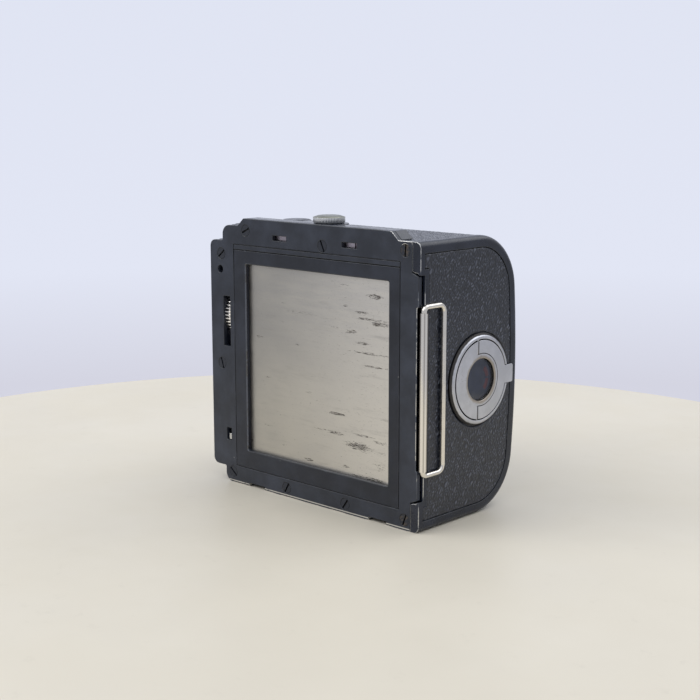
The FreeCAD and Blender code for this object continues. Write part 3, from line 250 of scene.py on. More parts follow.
SLIDE_MARKS = [              # x, z, half length, half height and strength of the torn dark patches
    (21.9, 23.3, 2.7, 0.8, 1.0), (11.2, 19.8, 1.1, 0.4, 0.8), (17.3, 18.5, 2.2, 0.4, 0.9),
    (20.1, 16.9, 5.7, 0.4, 0.9), (24.1, 15.9, 3.1, 0.7, 1.0), (13.1, 12.8, 1.9, 0.7, 1.0),
    (7.4, 13.3, 2.4, 0.3, 0.5), (17.4, 10.0, 2.4, 0.5, 1.0), (19.7, 7.4, 6.5, 0.35, 0.8),
    (21.6, 3.9, 4.8, 0.35, 0.8), (-24.0, 7.0, 1.5, 0.4, 1.0), (-7.6, 16.0, 6.1, 0.6, 0.5),
    (10.2, 25.5, 2.1, 0.3, 0.5), (-14.3, 17.9, 1.5, 0.4, 0.5), (-14.3, 12.6, 0.7, 0.4, 0.8),
    (-8.2, 6.5, 0.9, 0.4, 0.8), (-3.6, -6.8, 1.4, 0.4, 0.7), (-20.9, -4.8, 1.5, 0.4, 0.7),
    (7.8, -11.4, 3.7, 0.5, 1.0), (-20.6, -19.3, 2.4, 0.3, 0.7), (7.3, -17.1, 2.8, 0.6, 1.0),
    (1.9, -16.8, 3.4, 0.3, 0.7), (17.5, -16.1, 4.2, 0.4, 0.7), (15.6, -19.4, 4.6, 1.3, 1.0),
    (23.8, -17.1, 2.6, 0.4, 0.8), (-14.2, -24.2, 1.3, 0.3, 0.7), (-27.5, -25.2, 0.9, 0.5, 0.8),
    (-3.8, -26.8, 2.3, 0.5, 1.0), (11.2, -26.1, 1.2, 0.4, 1.0), (22.7, -23.4, 1.7, 0.3, 0.8),
    (24.7, -19.9, 1.7, 0.3, 0.7), (15.9, -28.0, 2.5, 0.5, 0.9), (21.9, -28.0, 4.5, 0.7, 1.0),
    (24.8, -24.4, 1.1, 1.1, 0.5),
]


def slide_material():
    """Satin steel sheet with drawing lines, grey clouds and torn streaks, painted lighter towards +X, and a
    polished rolled end with painted shading.
    """
    p = Paint("slide_steel")
    cloud = p.step(p.noise((0.035, 0.035, 0.05), 4, 0.6), 0.3, 0.75)
    tone = p.mix(cloud, (0.42, 0.405, 0.375), (0.49, 0.47, 0.425))
    # painted light: the sheet turns lighter towards +X
    tone = p.mix(p.step(p.axis("X"), -0.025, 0.034), tone, (0.69, 0.665, 0.62))
    # grime: darker streaks along the sheet
    darkening = p.step(p.noise((0.10, 0.3, 0.7), 6, 0.7), 0.5, 0.8)
    tone = p.mix(p.math("MULTIPLY", darkening, 0.4), tone, (0.34, 0.325, 0.30))
    marks = None
    for x, z, long, high, strength in SLIDE_MARKS:
        inside = p.step(p.near((x, 0, z), (long * 1.25, 0, high)), 1.25, 0.45, 0.0, strength)
        marks = inside if marks is None else p.math("MAXIMUM", marks, inside)
    flakes = p.noise((0.8, 1.0, 8.5), 5, 0.7, turn=(0, 1.5, 0))
    side = p.step(p.axis("X"), -0.02, 0.026, 0.0, 0.033)
    flakes = p.math("ADD", p.math("ADD", flakes, side), p.math("MULTIPLY", marks, 0.17))
    torn = p.step(flakes, 0.67, 0.70)
    tone = p.mix(p.math("MULTIPLY", torn, 0.95), tone, (0.075, 0.066, 0.058))
    specks = p.math("MULTIPLY", p.step(p.cells(0.42), 0.07, 0.04), p.step(p.noise(0.06, 2), 0.5, 0.6))
    tone = p.mix(p.math("MULTIPLY", specks, 0.7), tone, (0.10, 0.09, 0.08))
    rolled = p.step(p.axis("X"), 0.0384, 0.0388)
    across = p.add("ShaderNodeVectorMath", {0: p.place, 1: ROLL_ACROSS}, operation="DOT_PRODUCT")
    middle = Vector(ROLL_MIDDLE).dot(Vector(ROLL_ACROSS)) * MM
    across = p.math("SUBTRACT", across.outputs["Value"], middle)
    # painted reflection and shade on the rolled end: a dark line near its middle and dark flanks, across it
    # as seen from the camera
    band = p.step(p.math("ABSOLUTE", p.math("SUBTRACT", across, 0.08 * MM)), 0.26 * MM, 0.1 * MM)
    flank = p.step(p.math("ABSOLUTE", across), 0.72 * MM, 0.9 * MM)
    shade = p.math("MAXIMUM", p.math("MULTIPLY", band, 0.55), flank)
    polish_and_painted_shade = p.mix(shade, (0.86, 0.825, 0.765), (0.22, 0.20, 0.18))
    tone = p.mix(rolled, tone, polish_and_painted_shade)
    gloss = p.step(p.noise((0.08, 1, 0.9), 5, 0.7), 0.3, 0.75, 0.34, 0.48)
    gloss = p.math("ADD", gloss, p.math("MULTIPLY", torn, 0.2))
    gloss = p.add("ShaderNodeMix", {0: rolled, 2: gloss, 3: 0.15}).outputs[0]
    lines = p.bump(p.noise((0.12, 6.0, 7.0), 3, 0.7), 0.004, 0.55)
    return p.finish(color=tone, metal=1.0, rough=gloss, normal=lines)


def key_material(name, pits, deep):
    """Satin chrome tarnished to brass round the window, pitted where handled. Painted shade lies along the
    split lines beside the flap, and sets in from the first height of deep to the second, in metres."""
    p = Paint(name)
    radius = p.near((0, KEY_Y, KEY_Z), (0, 1.0, 1.0))
    ragged = p.math("ADD", radius, p.math("MULTIPLY", p.noise(0.5, 4, 0.6), 1.1))
    brass = p.step(ragged, 7.7, 6.8)
    haze = p.step(p.noise(0.16, 4, 0.6), 0.35, 0.75)
    tone = p.mix(haze, (0.52, 0.53, 0.565), (0.62, 0.63, 0.675))
    tone = p.mix(p.math("MULTIPLY", brass, 0.72), tone, (0.33, 0.27, 0.19))
    spots = p.step(p.cells(1.9), 0.2, 0.12)
    where = p.step(p.noise(0.22, 4, 0.6), 0.66 - pits, 0.78 - pits)
    tone = p.mix(p.math("MULTIPLY", p.math("MULTIPLY", spots, where), 0.75), tone, (0.20, 0.18, 0.16))
    # painted shade: darker deeper into the recess, from the first height of deep to the second
    darkening = p.step(p.math("ADD", p.axis("X"), p.math("MULTIPLY", p.noise(0.7, 3), 0.2 * MM)), *deep)
    # painted shade along the split lines at the flap's hinge and round its inner edge
    from_hinge = p.math("SUBTRACT", p.axis("Y"), FLAP_HINGE_Y * MM)
    hinge = p.step(p.math("ABSOLUTE", from_hinge), 0.22 * MM, 0.14 * MM)
    hinge = p.math("MULTIPLY", hinge, p.step(radius, FLAP_INNER, FLAP_INNER + 0.1))
    ring = p.step(p.math("ABSOLUTE", p.math("SUBTRACT", radius, FLAP_INNER)), 0.14, 0.08)
    ring = p.math("MULTIPLY", ring, p.step(from_hinge, 0.0, 0.2 * MM))
    on_face = p.step(radius, KEY_FACE_EDGE, KEY_FACE_EDGE - 0.1)
    split = p.math("MULTIPLY", p.math("MAXIMUM", hinge, ring), on_face)
    darkening = p.math("MAXIMUM", darkening, split)
    tone = p.mix(p.math("MULTIPLY", darkening, 0.93), tone, (0.035, 0.03, 0.026))
    gloss = p.step(p.noise(0.6, 4, 0.65), 0.3, 0.75, 0.28, 0.42)
    gloss = p.math("ADD", gloss, p.math("MULTIPLY", darkening, 0.25))
    return p.finish(color=tone, metal=1.0, rough=gloss, normal=p.bump(p.noise(4.5, 3, 0.6), 0.005, 0.5))


def glass_material():
    """Clear window: mostly transparent, with a faint gloss, and slightly dusty."""
    p = Paint("window_glass_clear")
    clear = p.add("ShaderNodeBsdfTransparent", {"Color": (0.86, 0.88, 0.92, 1)})
    shine = p.add("ShaderNodeBsdfGlossy", {"Color": (1, 1, 1, 1), "Roughness": 0.06})
    haze = p.step(p.noise(0.5, 4, 0.6), 0.3, 0.8, 0.025, 0.045)
    mix = p.add("ShaderNodeMixShader", {0: haze, 1: clear.outputs[0], 2: shine.outputs[0]})
    out = p.add("ShaderNodeOutputMaterial")
    p.tree.links.new(mix.outputs[0], out.inputs["Surface"])
    return p.material


def matte(name, color, rough, grain=3.0, spread=1.5, depth=0.01, specular=0.4):
    """Paint, plastic or cloth with an even grain."""
    p = Paint(name)
    shade = p.step(p.noise(grain * 0.12, 4, 0.6), 0.3, 0.75)
    tone = p.mix(shade, color, tuple(min(1.0, c * spread) for c in color))
    gloss = p.step(p.noise(grain * 0.3, 3, 0.6), 0.3, 0.75, rough - 0.05, rough + 0.07)
    normal = p.bump(p.noise(grain, 3, 0.6), depth, 0.6)
    return p.finish(color=tone, rough=gloss, normal=normal, specular=specular)


def flag_material():
    """White signal flag whose lower half is red."""
    p = Paint("signal_white_red")
    edge = p.math("ADD", p.axis("Z"), p.math("MULTIPLY", p.noise(0.8, 3), 0.1 * MM))
    tone = p.mix(p.step(edge, 0.01494, 0.01504), (0.45, 0.03, 0.025), (0.72, 0.71, 0.67))
    return p.finish(color=tone, rough=p.step(p.noise(1.0, 3), 0.3, 0.7, 0.45, 0.6))


PAINT = (0.0155, 0.019, 0.0285)
COVER_PAINT = (0.0068, 0.0093, 0.0172)
MATERIALS = {
    "front": enamel("front_enamel", PAINT, 0.40, 0.15, True),
    "panel": enamel("panel_enamel", (0.0088, 0.0112, 0.0185), 0.42),
    "cover": enamel("cover_enamel", COVER_PAINT, 0.28),
    "bridge": enamel("bridge_enamel", PAINT, 0.21, 0.25),
    "front_edge": worn_and_highlit_edge(
        "front_edge_worn_and_highlit", (0.02, 0.023, 0.03), (0.66, 0.65, 0.62), -0.12,
        # bottom and top right edges are worn; the right edge beside the slot gets a painted highlight line
        [((10, 0, -39.4), (60, 1.2, 0.5)), ((34, 0, 40.6), (9, 1.2, 2.6)), ((37.5, 0, 0), (2.5, 2.2, 31))],
    ),
    "panel_edge": worn_and_highlit_edge(
        # the left edge gets a painted highlight line on the panel's chamfer
        "panel_edge_worn_and_highlit", (0.02, 0.023, 0.03), (0.12, 0.12, 0.125), -0.14, [((-28.4, 0, 0), (0.8, 1, 40))]
    ),
    "cover_edge": worn_and_highlit_edge(
        "cover_edge_worn_and_highlit", (0.018, 0.021, 0.027), (0.6, 0.6, 0.59), -0.1,
        [((38, 0, 35.5), (2.6, 1.6, 5.5)), ((38, 0, -35.5), (2.6, 1.6, 5.5)),
         # the front edge beside the slot gets a painted highlight line
         ((39.2, 1.8, 0), (0.6, 0.8, 33))],
    ),
    "front_screw": screw_material(),
    "leather": leather_material("leather_black", 0.28),
    "leather_body": leather_material("leather_black_glossy", 0.16),
    "slide": slide_material(),
    "nickel": metal("nickel_polished", (0.80, 0.765, 0.70), 0.17, (0.3, 0.3, 0.05), 0.15),
    "key": key_material("key_chrome", 0.2, (0.04032, 0.04012)),
    "key_dish": key_material("key_dish_chrome", 0.02, (0.04012, 0.03998)),
    "key_flap": key_material("key_flap_chrome", -0.02, (0.04022, 0.04002)),
    "chrome": metal("chrome_satin", (0.66, 0.665, 0.68), 0.28, stain=0.3),
    "knurl": metal("chrome_knurl", (0.70, 0.71, 0.71), 0.20, stain=0.2),
    "button_top": metal("chrome_olive", (0.27, 0.275, 0.235), 0.34, stain=0.6),
    "hook": metal("hook_steel", (0.42, 0.38, 0.42), 0.33, (0.2, 1, 1), 0.4),
    "steel": metal("steel_bright", (0.60, 0.60, 0.60), 0.28, stain=0.35),
    "tooth": metal("steel_tooth", (0.86, 0.84, 0.80), 0.2, stain=0.2),
    "brass": metal("brass_turned", (0.62, 0.46, 0.20), 0.28, stain=0.35),
    "alloy": metal("alloy_brushed", (0.56, 0.56, 0.57), 0.36, (0.15, 1, 1), 0.3),
    "pressure": metal("pressure_steel", (0.50, 0.50, 0.50), 0.3, (1, 1, 0.15), 0.3),
    "glass": glass_material(),
    "dial": matte("dial_navy", (0.017, 0.021, 0.036), 0.5),
    "dial_red": matte("dial_red", (0.085, 0.0125, 0.0135), 0.5),
    "dial_white": matte("dial_white", (0.62, 0.61, 0.56), 0.5, spread=1.15),
    "plastic": matte("plastic_black", (0.014, 0.014, 0.015), 0.42),
    "velvet": matte("velvet_black", (0.008, 0.008, 0.008), 0.92, 9.0, 2.2, 0.06, 0.1),
    "signal": flag_material(),
}


# ---------------------------------------------------------------- CAD nodes that keep their shape
def shade_group():
    """Geometry nodes that join the imported mesh's split corners and shade it smooth."""
    join_distance = 0.002 * MM
    tree = bpy.data.node_groups.new("join_and_smooth", "GeometryNodeTree")
    tree.interface.new_socket("Geometry", in_out="INPUT", socket_type="NodeSocketGeometry")
    tree.interface.new_socket("Geometry", in_out="OUTPUT", socket_type="NodeSocketGeometry")
    start, end = tree.nodes.new("NodeGroupInput"), tree.nodes.new("NodeGroupOutput")
    drop = tree.nodes.new("GeometryNodeRemoveAttribute")
    drop.inputs["Name"].default_value = "custom_normal"
    weld = tree.nodes.new("GeometryNodeMergeByDistance")
    weld.inputs["Distance"].default_value = join_distance
    sharp = tree.nodes.new("GeometryNodeSetShadeSmooth")
    sharp.domain = "EDGE"
    faces = tree.nodes.new("GeometryNodeSetShadeSmooth")
    steps = [start, drop, weld, sharp, faces, end]
    for before, after in zip(steps, steps[1:]):
        tree.links.new(before.outputs[0], after.inputs[0])
    return tree


SHADE = shade_group()
CLAMPED = {"key_face", "crank_disc", "gear_cover"}      # their edges leave too little room for full bevels
FLAT_ANGLE, EDGE_ANGLE = math.radians(0.3), math.radians(30)


def soften(node, material, edge, width):
    """Gives a CAD node its material and small rounded edges, whose faces take the edge material."""
    obj = NODES[node]
    obj.data.materials.clear()
    obj.data.materials.append(MATERIALS[material])
    if edge:
        obj.data.materials.append(MATERIALS[edge])
    obj.modifiers.new("join", "NODES").node_group = SHADE
    flat = obj.modifiers.new("flat", "DECIMATE")
    flat.decimate_type = "DISSOLVE"
    flat.angle_limit = FLAT_ANGLE
    bevel = obj.modifiers.new("edges", "BEVEL")
    bevel.width = width * MM
    bevel.segments = 2
    bevel.limit_method = "ANGLE"
    bevel.angle_limit = EDGE_ANGLE
    bevel.use_clamp_overlap = node in CLAMPED
    bevel.loop_slide = False
    if edge:
        bevel.material = 1
    normals = obj.modifiers.new("normals", "WEIGHTED_NORMAL")
    normals.keep_sharp = False
    normals.weight = 90


LOOKS = {                    # node: material, edge material and width of the edges
    "front_plate": ("front", "front_edge", 0.16), "aperture_panel": ("panel", "panel_edge", 0.14),
    "front_screws": ("front_screw", None, 0.05), "front_frame": ("front", "front_edge", 0.14),
    "light_trap_pad": ("velvet", None, 0.1), "film_rails": ("steel", None, 0.08),
    "catch_housing": ("bridge", "front_edge", 0.16), "catch_bar": ("hook", None, 0.06),
    "catch_stem": ("steel", None, 0.05), "catch_spring": ("steel", None, 0.02),
    "top_boss": ("cover", "cover_edge", 0.1), "casing": ("front", "front_edge", 0.14),
    "drive_wall": ("front", "front_edge", 0.14), "gear_studs": ("steel", None, 0.05),
    "crank_gear": ("brass", None, 0.03), "drive_gear": ("tooth", None, 0.03),
    "idler_gear": ("brass", None, 0.03), "take_up_gear": ("brass", None, 0.03),
    "take_up_dog": ("steel", None, 0.05), "gear_plate": ("alloy", None, 0.08),
    "gear_plate_screws": ("steel", None, 0.04), "gear_cover": ("cover", "cover_edge", 0.14),
    "cover_screws": ("steel", None, 0.05), "crank_escutcheon": ("chrome", None, 0.1),
    "crank_shaft": ("steel", None, 0.08), "crank_disc": ("chrome", None, 0.14),
    "crank_arm": ("chrome", None, 0.14), "crank_arm_pin": ("steel", None, 0.05),
    "crank_knob": ("chrome", None, 0.15), "counter_dial": ("dial", None, 0.04),
    "indicator_bezels": ("chrome", None, 0.12), "indicator_glasses": ("glass", None, 0.08),
    "film_signal_flag": ("signal", None, 0.04), "signal_lever": ("steel", None, 0.08),
    "dark_slide": ("slide", None, 0.02), "handle_bail": ("nickel", None, 0.05),
    "side_cover": ("cover", "cover_edge", 0.14), "key_dish": ("key_dish", None, 0.08),
    "key_face": ("key", None, 0.07), "key_flap": ("key_flap", None, 0.08),
    "flap_pins": ("steel", None, 0.03), "key_hub_and_cam": ("steel", None, 0.06),
    "window_glass": ("glass", None, 0.05), "window_dial": ("dial", None, 0.05),
    "holder_plates": ("alloy", None, 0.1), "holder_posts": ("steel", None, 0.08),
    "holder_web": ("alloy", None, 0.12), "spool_pivots": ("steel", None, 0.1),
    "take_up_spool": ("plastic", None, 0.12), "upper_guide_roller": ("steel", None, 0.12),
    "lower_guide_roller": ("steel", None, 0.12), "roller_axles": ("steel", None, 0.08),
    "pressure_plate": ("pressure", None, 0.12), "pressure_springs": ("steel", None, 0.04),
}
for node, (material, edge, width) in LOOKS.items():
    soften(node, material, edge, width)


# ---------------------------------------------------------------- new pieces
def piece(name, vertices, faces, material, body, smooth=True):
    """Mesh in millimetres that rides on a body."""
    mesh = bpy.data.meshes.new(name)
    mesh.from_pydata([tuple(v) for v in np.asarray(vertices) * MM], [], [tuple(f) for f in faces])
    mesh.update()
    obj = bpy.data.objects.new(name, mesh)
    bpy.context.scene.collection.objects.link(obj)
    mesh.materials.append(MATERIALS[material])
    mesh.polygons.foreach_set("use_smooth", [smooth] * len(mesh.polygons))
    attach(obj, body)
    return obj


def face_outward(obj):
    """Turns the faces of a closed mesh outwards."""
    mesh = bmesh.new()
    mesh.from_mesh(obj.data)
    bmesh.ops.recalc_face_normals(mesh, faces=mesh.faces)
    mesh.to_mesh(obj.data)
    mesh.free()


# ---------------------------------------------------------------- leather
CELLS = 64                           # the grain's cells repeat after this many
CELL_TABLE = RNG.random((3, CELLS, CELLS))


def pebbles(u, v):
    """Height from 0 to 1 of a pebble grain at (u, v) millimetres: long cells that lean to one side."""
    lean, long, short = math.radians(48), 1.05, 0.74
    p = (u * math.cos(lean) + v * math.sin(lean)) / long
    q = (v * math.cos(lean) - u * math.sin(lean)) / short
    wander = 0.35 * np.sin(0.9 * p + 1.3 * q) + 0.25 * np.sin(1.7 * p - 0.8 * q)
    p, q = p + wander, q + 0.3 * np.sin(1.1 * q + 0.6 * p)
    cell_p, cell_q = np.floor(p).astype(int), np.floor(q).astype(int)
    first = np.full(u.shape, 9.0)
    second = np.full(u.shape, 9.0)
    tall = np.zeros(u.shape)
    for step_p in (-1, 0, 1):
        for step_q in (-1, 0, 1):
            i, j = (cell_p + step_p) % CELLS, (cell_q + step_q) % CELLS
            away_p = cell_p + step_p + CELL_TABLE[0, i, j] * 0.85 - p
            away_q = cell_q + step_q + CELL_TABLE[1, i, j] * 0.85 - q
            far = np.hypot(away_p, away_q)
            nearer = far < first
            second = np.where(nearer, first, np.minimum(second, far))
            tall = np.where(nearer, CELL_TABLE[2, i, j], tall)
            first = np.where(nearer, far, first)
    rise = np.clip((second - first) / 0.45, 0, 1)
    rise = rise * rise * (3 - 2 * rise)
    return rise * (0.62 + 0.38 * tall) * (1 - 0.25 * np.clip(first, 0, 1))


def outline_points(corners, per_turn=48):
    """Closed outline through (u, v, radius) corners, each rounded, as an array of points."""
    points = []
    count = len(corners)
    for i, (u, v, radius) in enumerate(corners):
        here = np.array((u, v))
        before = np.array(corners[i - 1][:2]) - here
        after = np.array(corners[(i + 1) % count][:2]) - here
        before, after = before / np.linalg.norm(before), after / np.linalg.norm(after)
        if radius == 0:
            points.append(here)
            continue
        half = math.acos(np.clip(before @ after, -1, 1)) / 2
        reach = radius / math.tan(half)
        inward = (before + after) / np.linalg.norm(before + after)
        middle = here + inward * radius / math.sin(half)
        start, end = here + before * reach - middle, here + after * reach - middle
        turn = math.acos(np.clip(start @ end / radius**2, -1, 1))
        steps = max(8, round(per_turn * turn / (2 * math.pi)))
        for k in range(steps + 1):
            t = k / steps
            blend = (math.sin((1 - t) * turn) * start + math.sin(t * turn) * end) / math.sin(turn)
            points.append(middle + blend)
    return np.array(points)


def round_back(high, back, radius, crown):
    """Corners of the slightly domed back with its two round ends, from the bottom up."""
    peak = back + crown * (math.sqrt(1 + CROWN_SLOPE**2) - 1)
    end = peak - CROWN_SLOPE * high
    return [(end, -high, radius), (peak, 0, crown), (end, high, radius)]


def outline_distance(u, v, outline):
    """Signed distance from a closed outline, negative inside, and the nearest point on it."""
    best = np.full(u.shape, 1e9)
    near_u, near_v = np.zeros(u.shape), np.zeros(u.shape)
    inside = np.zeros(u.shape, bool)
    for (au, av), (bu, bv) in zip(outline, np.roll(outline, -1, axis=0)):
        du, dv = bu - au, bv - av
        length = du * du + dv * dv
        if length < 1e-12:
            continue
        t = np.clip(((u - au) * du + (v - av) * dv) / length, 0, 1)
        pu, pv = au + t * du, av + t * dv
        far = np.hypot(u - pu, v - pv)
        closer = far < best
        best = np.where(closer, far, best)
        near_u, near_v = np.where(closer, pu, near_u), np.where(closer, pv, near_v)
        if dv:
            crosses = (av > v) != (bv > v)
            inside ^= crosses & (u < (v - av) * du / dv + au)
    return np.where(inside, -best, best), near_u, near_v


def sheet_distance(u, v, outline, holes):
    """Signed distance and nearest edge point of an outline with round (u, v, radius) holes."""
    distance, near_u, near_v = outline_distance(u, v, outline)
    for hole_u, hole_v, radius in holes:
        away = np.hypot(u - hole_u, v - hole_v) + 1e-9
        gap = radius - away
        inner = gap > distance
        distance = np.where(inner, gap, distance)
        near_u = np.where(inner, hole_u + (u - hole_u) * radius / away, near_u)
        near_v = np.where(inner, hole_v + (v - hole_v) * radius / away, near_v)
    return distance, near_u, near_v


def leather_height(u, v, edge):
    """How far the surface lies under the leather's outer face, in millimetres, and the pebble height."""
    grain = pebbles(u, v)
    calm = np.clip(edge / 0.9, 0.25, 1)
    depth = (1 - grain) * LEATHER_GRAIN * calm
    radius = 0.34
    shoulder = np.clip(radius - edge, 0, radius)
    return depth + radius - np.sqrt(radius**2 - shoulder**2), grain


def keep_grain(obj, grain):
    """Stores the pebble height of each vertex for the leather's material."""
    obj.data.attributes.new("pebble", "FLOAT", "POINT").data.foreach_set("value", grain.astype(np.float32))


def flat_leather(name, node, body, corners, holes, surface, outward, pitch, base):
    """Leather on a flat side: a grid cut to its outline, with pebbles, round edges and side walls.
    The sheet lies in the Y-Z plane from X = base to X = surface and faces outward, +1 or -1 along X."""
    outline = outline_points(corners)
    low, high = outline.min(0) - pitch, outline.max(0) + pitch
    across = np.arange(low[0], high[0], pitch)
    up = np.arange(low[1], high[1], pitch)
    u, v = np.meshgrid(across, up, indexing="ij")
    distance, near_u, near_v = sheet_distance(u, v, outline, holes)
    middle_u, middle_v = (u[:-1, :-1] + u[1:, 1:]) / 2, (v[:-1, :-1] + v[1:, 1:]) / 2
    keep = sheet_distance(middle_u, middle_v, outline, holes)[0] < 0
    index = np.arange(u.size).reshape(u.shape)
    quads = np.stack([index[:-1, :-1], index[1:, :-1], index[1:, 1:], index[:-1, 1:]], -1)[keep]
    if outward < 0:
        quads = quads[:, ::-1]
    sides = np.concatenate([quads[:, [k, (k + 1) % 4]] for k in range(4)])
    key = np.sort(sides, axis=1)
    _, first, counts = np.unique(key, axis=0, return_index=True, return_counts=True)
    rim = sides[first[counts == 1]]
    on_rim = np.zeros(u.size, bool)
    on_rim[rim.ravel()] = True
    flat_u = np.where(on_rim, near_u.ravel(), u.ravel())
    flat_v = np.where(on_rim, near_v.ravel(), v.ravel())
    edge = np.where(on_rim, 0, np.clip(-distance.ravel(), 0.02, None))
    drop, grain = leather_height(flat_u, flat_v, edge)
    top = np.stack([surface - outward * drop, flat_u, flat_v], 1)
    used = np.unique(quads)
    order = np.full(u.size, -1)
    order[used] = np.arange(used.size)
    rim_used = np.unique(rim)
    foot = np.full(u.size, -1)
    foot[rim_used] = used.size + np.arange(rim_used.size)
    bottom = np.stack([np.full(rim_used.size, base), flat_u[rim_used], flat_v[rim_used]], 1)
    faces = [tuple(f) for f in order[quads]]
    faces += [(order[b], order[a], foot[a], foot[b]) for a, b in rim]
    obj = piece(name, np.concatenate([top[used], bottom]), faces, "leather", body)
    keep_grain(obj, np.concatenate([grain[used], np.zeros(rim_used.size)]))
    cap = bmesh.new()
    cap.from_mesh(obj.data)
    open_edges = [e for e in cap.edges if e.is_boundary]
    bmesh.ops.triangle_fill(cap, use_beauty=True, edges=open_edges)
    bmesh.ops.recalc_face_normals(cap, faces=cap.faces)
    cap.to_mesh(obj.data)
    cap.free()
    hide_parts(node)


def side_leather():
    """The film holder's side, stepped back beside the dark slide."""
    high, back, radius, corner, middle, step = 36.22, 39.82, 13.12, 1.88, 3.58, 32.28
    corners = [
        (corner, -high, 0.4), *round_back(high, back, radius, CROWN), (corner, high, 0.4),
        (corner, step, 0.3), (middle, step, 0.3), (middle, -step, 0.3), (corner, -step, 0.3),
    ]
    holes = [(KEY_Y, KEY_Z, KEY_RING + 0.25)]
    flat_leather(
        "side_leather_grain", "side_leather", "film_holder", corners, holes,
        surface=SIDE_SURFACE, outward=1, pitch=0.23, base=SIDE_SURFACE - LEATHER,
    )


def cover_leather():
    """The crank's side, round the crank, the two windows and the screws."""
    inset, front, back, half, soft, rear = 2.66, 1.4, 40.0, 34.7, 0.5, 6.34
    low_y, high_y, high = front + inset, back - inset, half - inset
    corners = [(low_y, -high, soft), (high_y, -high, rear), (high_y, high, rear), (low_y, high, soft)]
    holes = [(23.8, 0.0, 12.8), (12.5, 28.4, 3.5), (12.5, 15.0, 2.4)]
    holes += [(6.8, -28.8, 2.1), (33.0, -27.5, 2.1), (33.5, 28.5, 2.1)]
    flat_leather(
        "cover_leather_grain", "cover_leather", "magazine", corners, holes,
        surface=COVER_SURFACE, outward=-1, pitch=0.26, base=COVER_SURFACE + LEATHER,
    )


def body_leather():
    """Leather wrapped round the top, the back and the bottom."""
    pitch = 0.33
    rear = round_back(BODY_HALF, BODY_BACK, REAR_RADIUS, CROWN)
    outline = outline_points([(BODY_FRONT, BODY_HALF, 0), *reversed(rear), (BODY_FRONT, -BODY_HALF, 0)], 240)
    reach = np.concatenate([[0], np.cumsum(np.hypot(*np.diff(outline, axis=0).T))])
    total = reach[-1]
    along = np.linspace(0, total, round(total / pitch) + 1)
    across = np.linspace(BODY_LEFT, BODY_RIGHT, round((BODY_RIGHT - BODY_LEFT) / pitch) + 1)
    place = np.stack([np.interp(along, reach, outline[:, k]) for k in (0, 1)], 1)
    tangent = np.gradient(place, axis=0)
    tangent /= np.linalg.norm(tangent, axis=1)[:, None]
    out = np.stack([-tangent[:, 1], tangent[:, 0]], 1)
    s, x = np.meshgrid(along, across, indexing="ij")
    edge = np.minimum(np.minimum(s, total - s), np.minimum(x - BODY_LEFT, BODY_RIGHT - x))
    drop, grain = leather_height(x, s, edge)
    y = place[:, :1] - out[:, :1] * drop
    z = place[:, 1:] - out[:, 1:] * drop
    top = np.stack([x, y, z], -1).reshape(-1, 3)
    index = np.arange(s.size).reshape(s.shape)
    quads = np.stack([index[:-1, :-1], index[:-1, 1:], index[1:, 1:], index[1:, :-1]], -1).reshape(-1, 4)
    inner = np.repeat((place - out * LEATHER)[:, None, :], across.size, axis=1)
    under = np.concatenate([x[:, :, None], inner], -1)
    ring = np.concatenate([index[0, :-1], index[:-1, -1], index[-1, :0:-1], index[:0:-1, 0]])
    foot = under.reshape(-1, 3)[ring]
    start = s.size
    faces = [tuple(f[::-1]) for f in quads]
    count = ring.size
    for k in range(count):
        after = (k + 1) % count
        faces.append((ring[k], ring[after], start + after, start + k))
    width, length = across.size - 1, along.size - 1
    for k in range(length):
        right, left = start + width + k, start + (2 * width + 2 * length - k) % count
        right_after, left_after = right + 1, start + (2 * width + 2 * length - k - 1) % count
        faces.append((right, left, left_after, right_after))
    points = np.concatenate([top, foot])
    obj = piece("body_leather_grain", points, faces, "leather_body", "magazine")
    keep_grain(obj, np.concatenate([grain.ravel(), np.zeros(count)]))
    face_outward(obj)
    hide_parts("body_leather")


side_leather()
cover_leather()
body_leather()


# ---------------------------------------------------------------- release button
def release_button():
    """Round button: knurled side, broad chamfer and a shallow dished top."""
    middle_y, base, top, radius = 6.4, 41.78, 43.9, 4.55
    ribs, per_rib = 64, 4
    around = ribs * per_rib
    wave = np.array([0.0, 0.11, 0.11, 0.0])
    profile = [                                              # radius, height, and 1 where knurled
        (0.0, base, 0), (4.2, base, 0), (4.4, base + 0.1, 0), (radius, base + 0.2, 1),
        (radius, top - 0.5, 1), (radius - 0.08, top - 0.43, 0), (radius - 1.25, top - 0.03, 0),
        (radius - 1.45, top, 0), (2.0, top - 0.04, 0), (1.0, top - 0.06, 0), (0.0, top - 0.07, 0),
    ]
    vertices, faces = [], []
    for reach, z, knurled in profile:
        for k in range(around):
            a = 2 * math.pi * k / around
            r = reach - knurled * wave[k % per_rib]
            vertices.append((r * math.cos(a), middle_y + r * math.sin(a), z))
    for row in range(len(profile) - 1):
        for k in range(around):
            a, b = row * around + k, row * around + (k + 1) % around
            faces.append((a, b, b + around, a + around))
    obj = piece("release_button_knurled", vertices, faces, "knurl", "catch")
    obj.data.materials.append(MATERIALS["button_top"])
    ends = bmesh.new()
    ends.from_mesh(obj.data)
    bmesh.ops.remove_doubles(ends, verts=ends.verts, dist=1e-6)
    for face in ends.faces:
        if face.calc_center_median().z > (top - 0.48) * MM:
            face.material_index = 1
    bmesh.ops.recalc_face_normals(ends, faces=ends.faces)
    ends.to_mesh(obj.data)
    ends.free()
    edge = obj.modifiers.new("edges", "BEVEL")
    edge.width, edge.segments = 0.03 * MM, 1
    edge.limit_method, edge.angle_limit = "ANGLE", math.radians(50)
    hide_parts("release_button")


release_button()


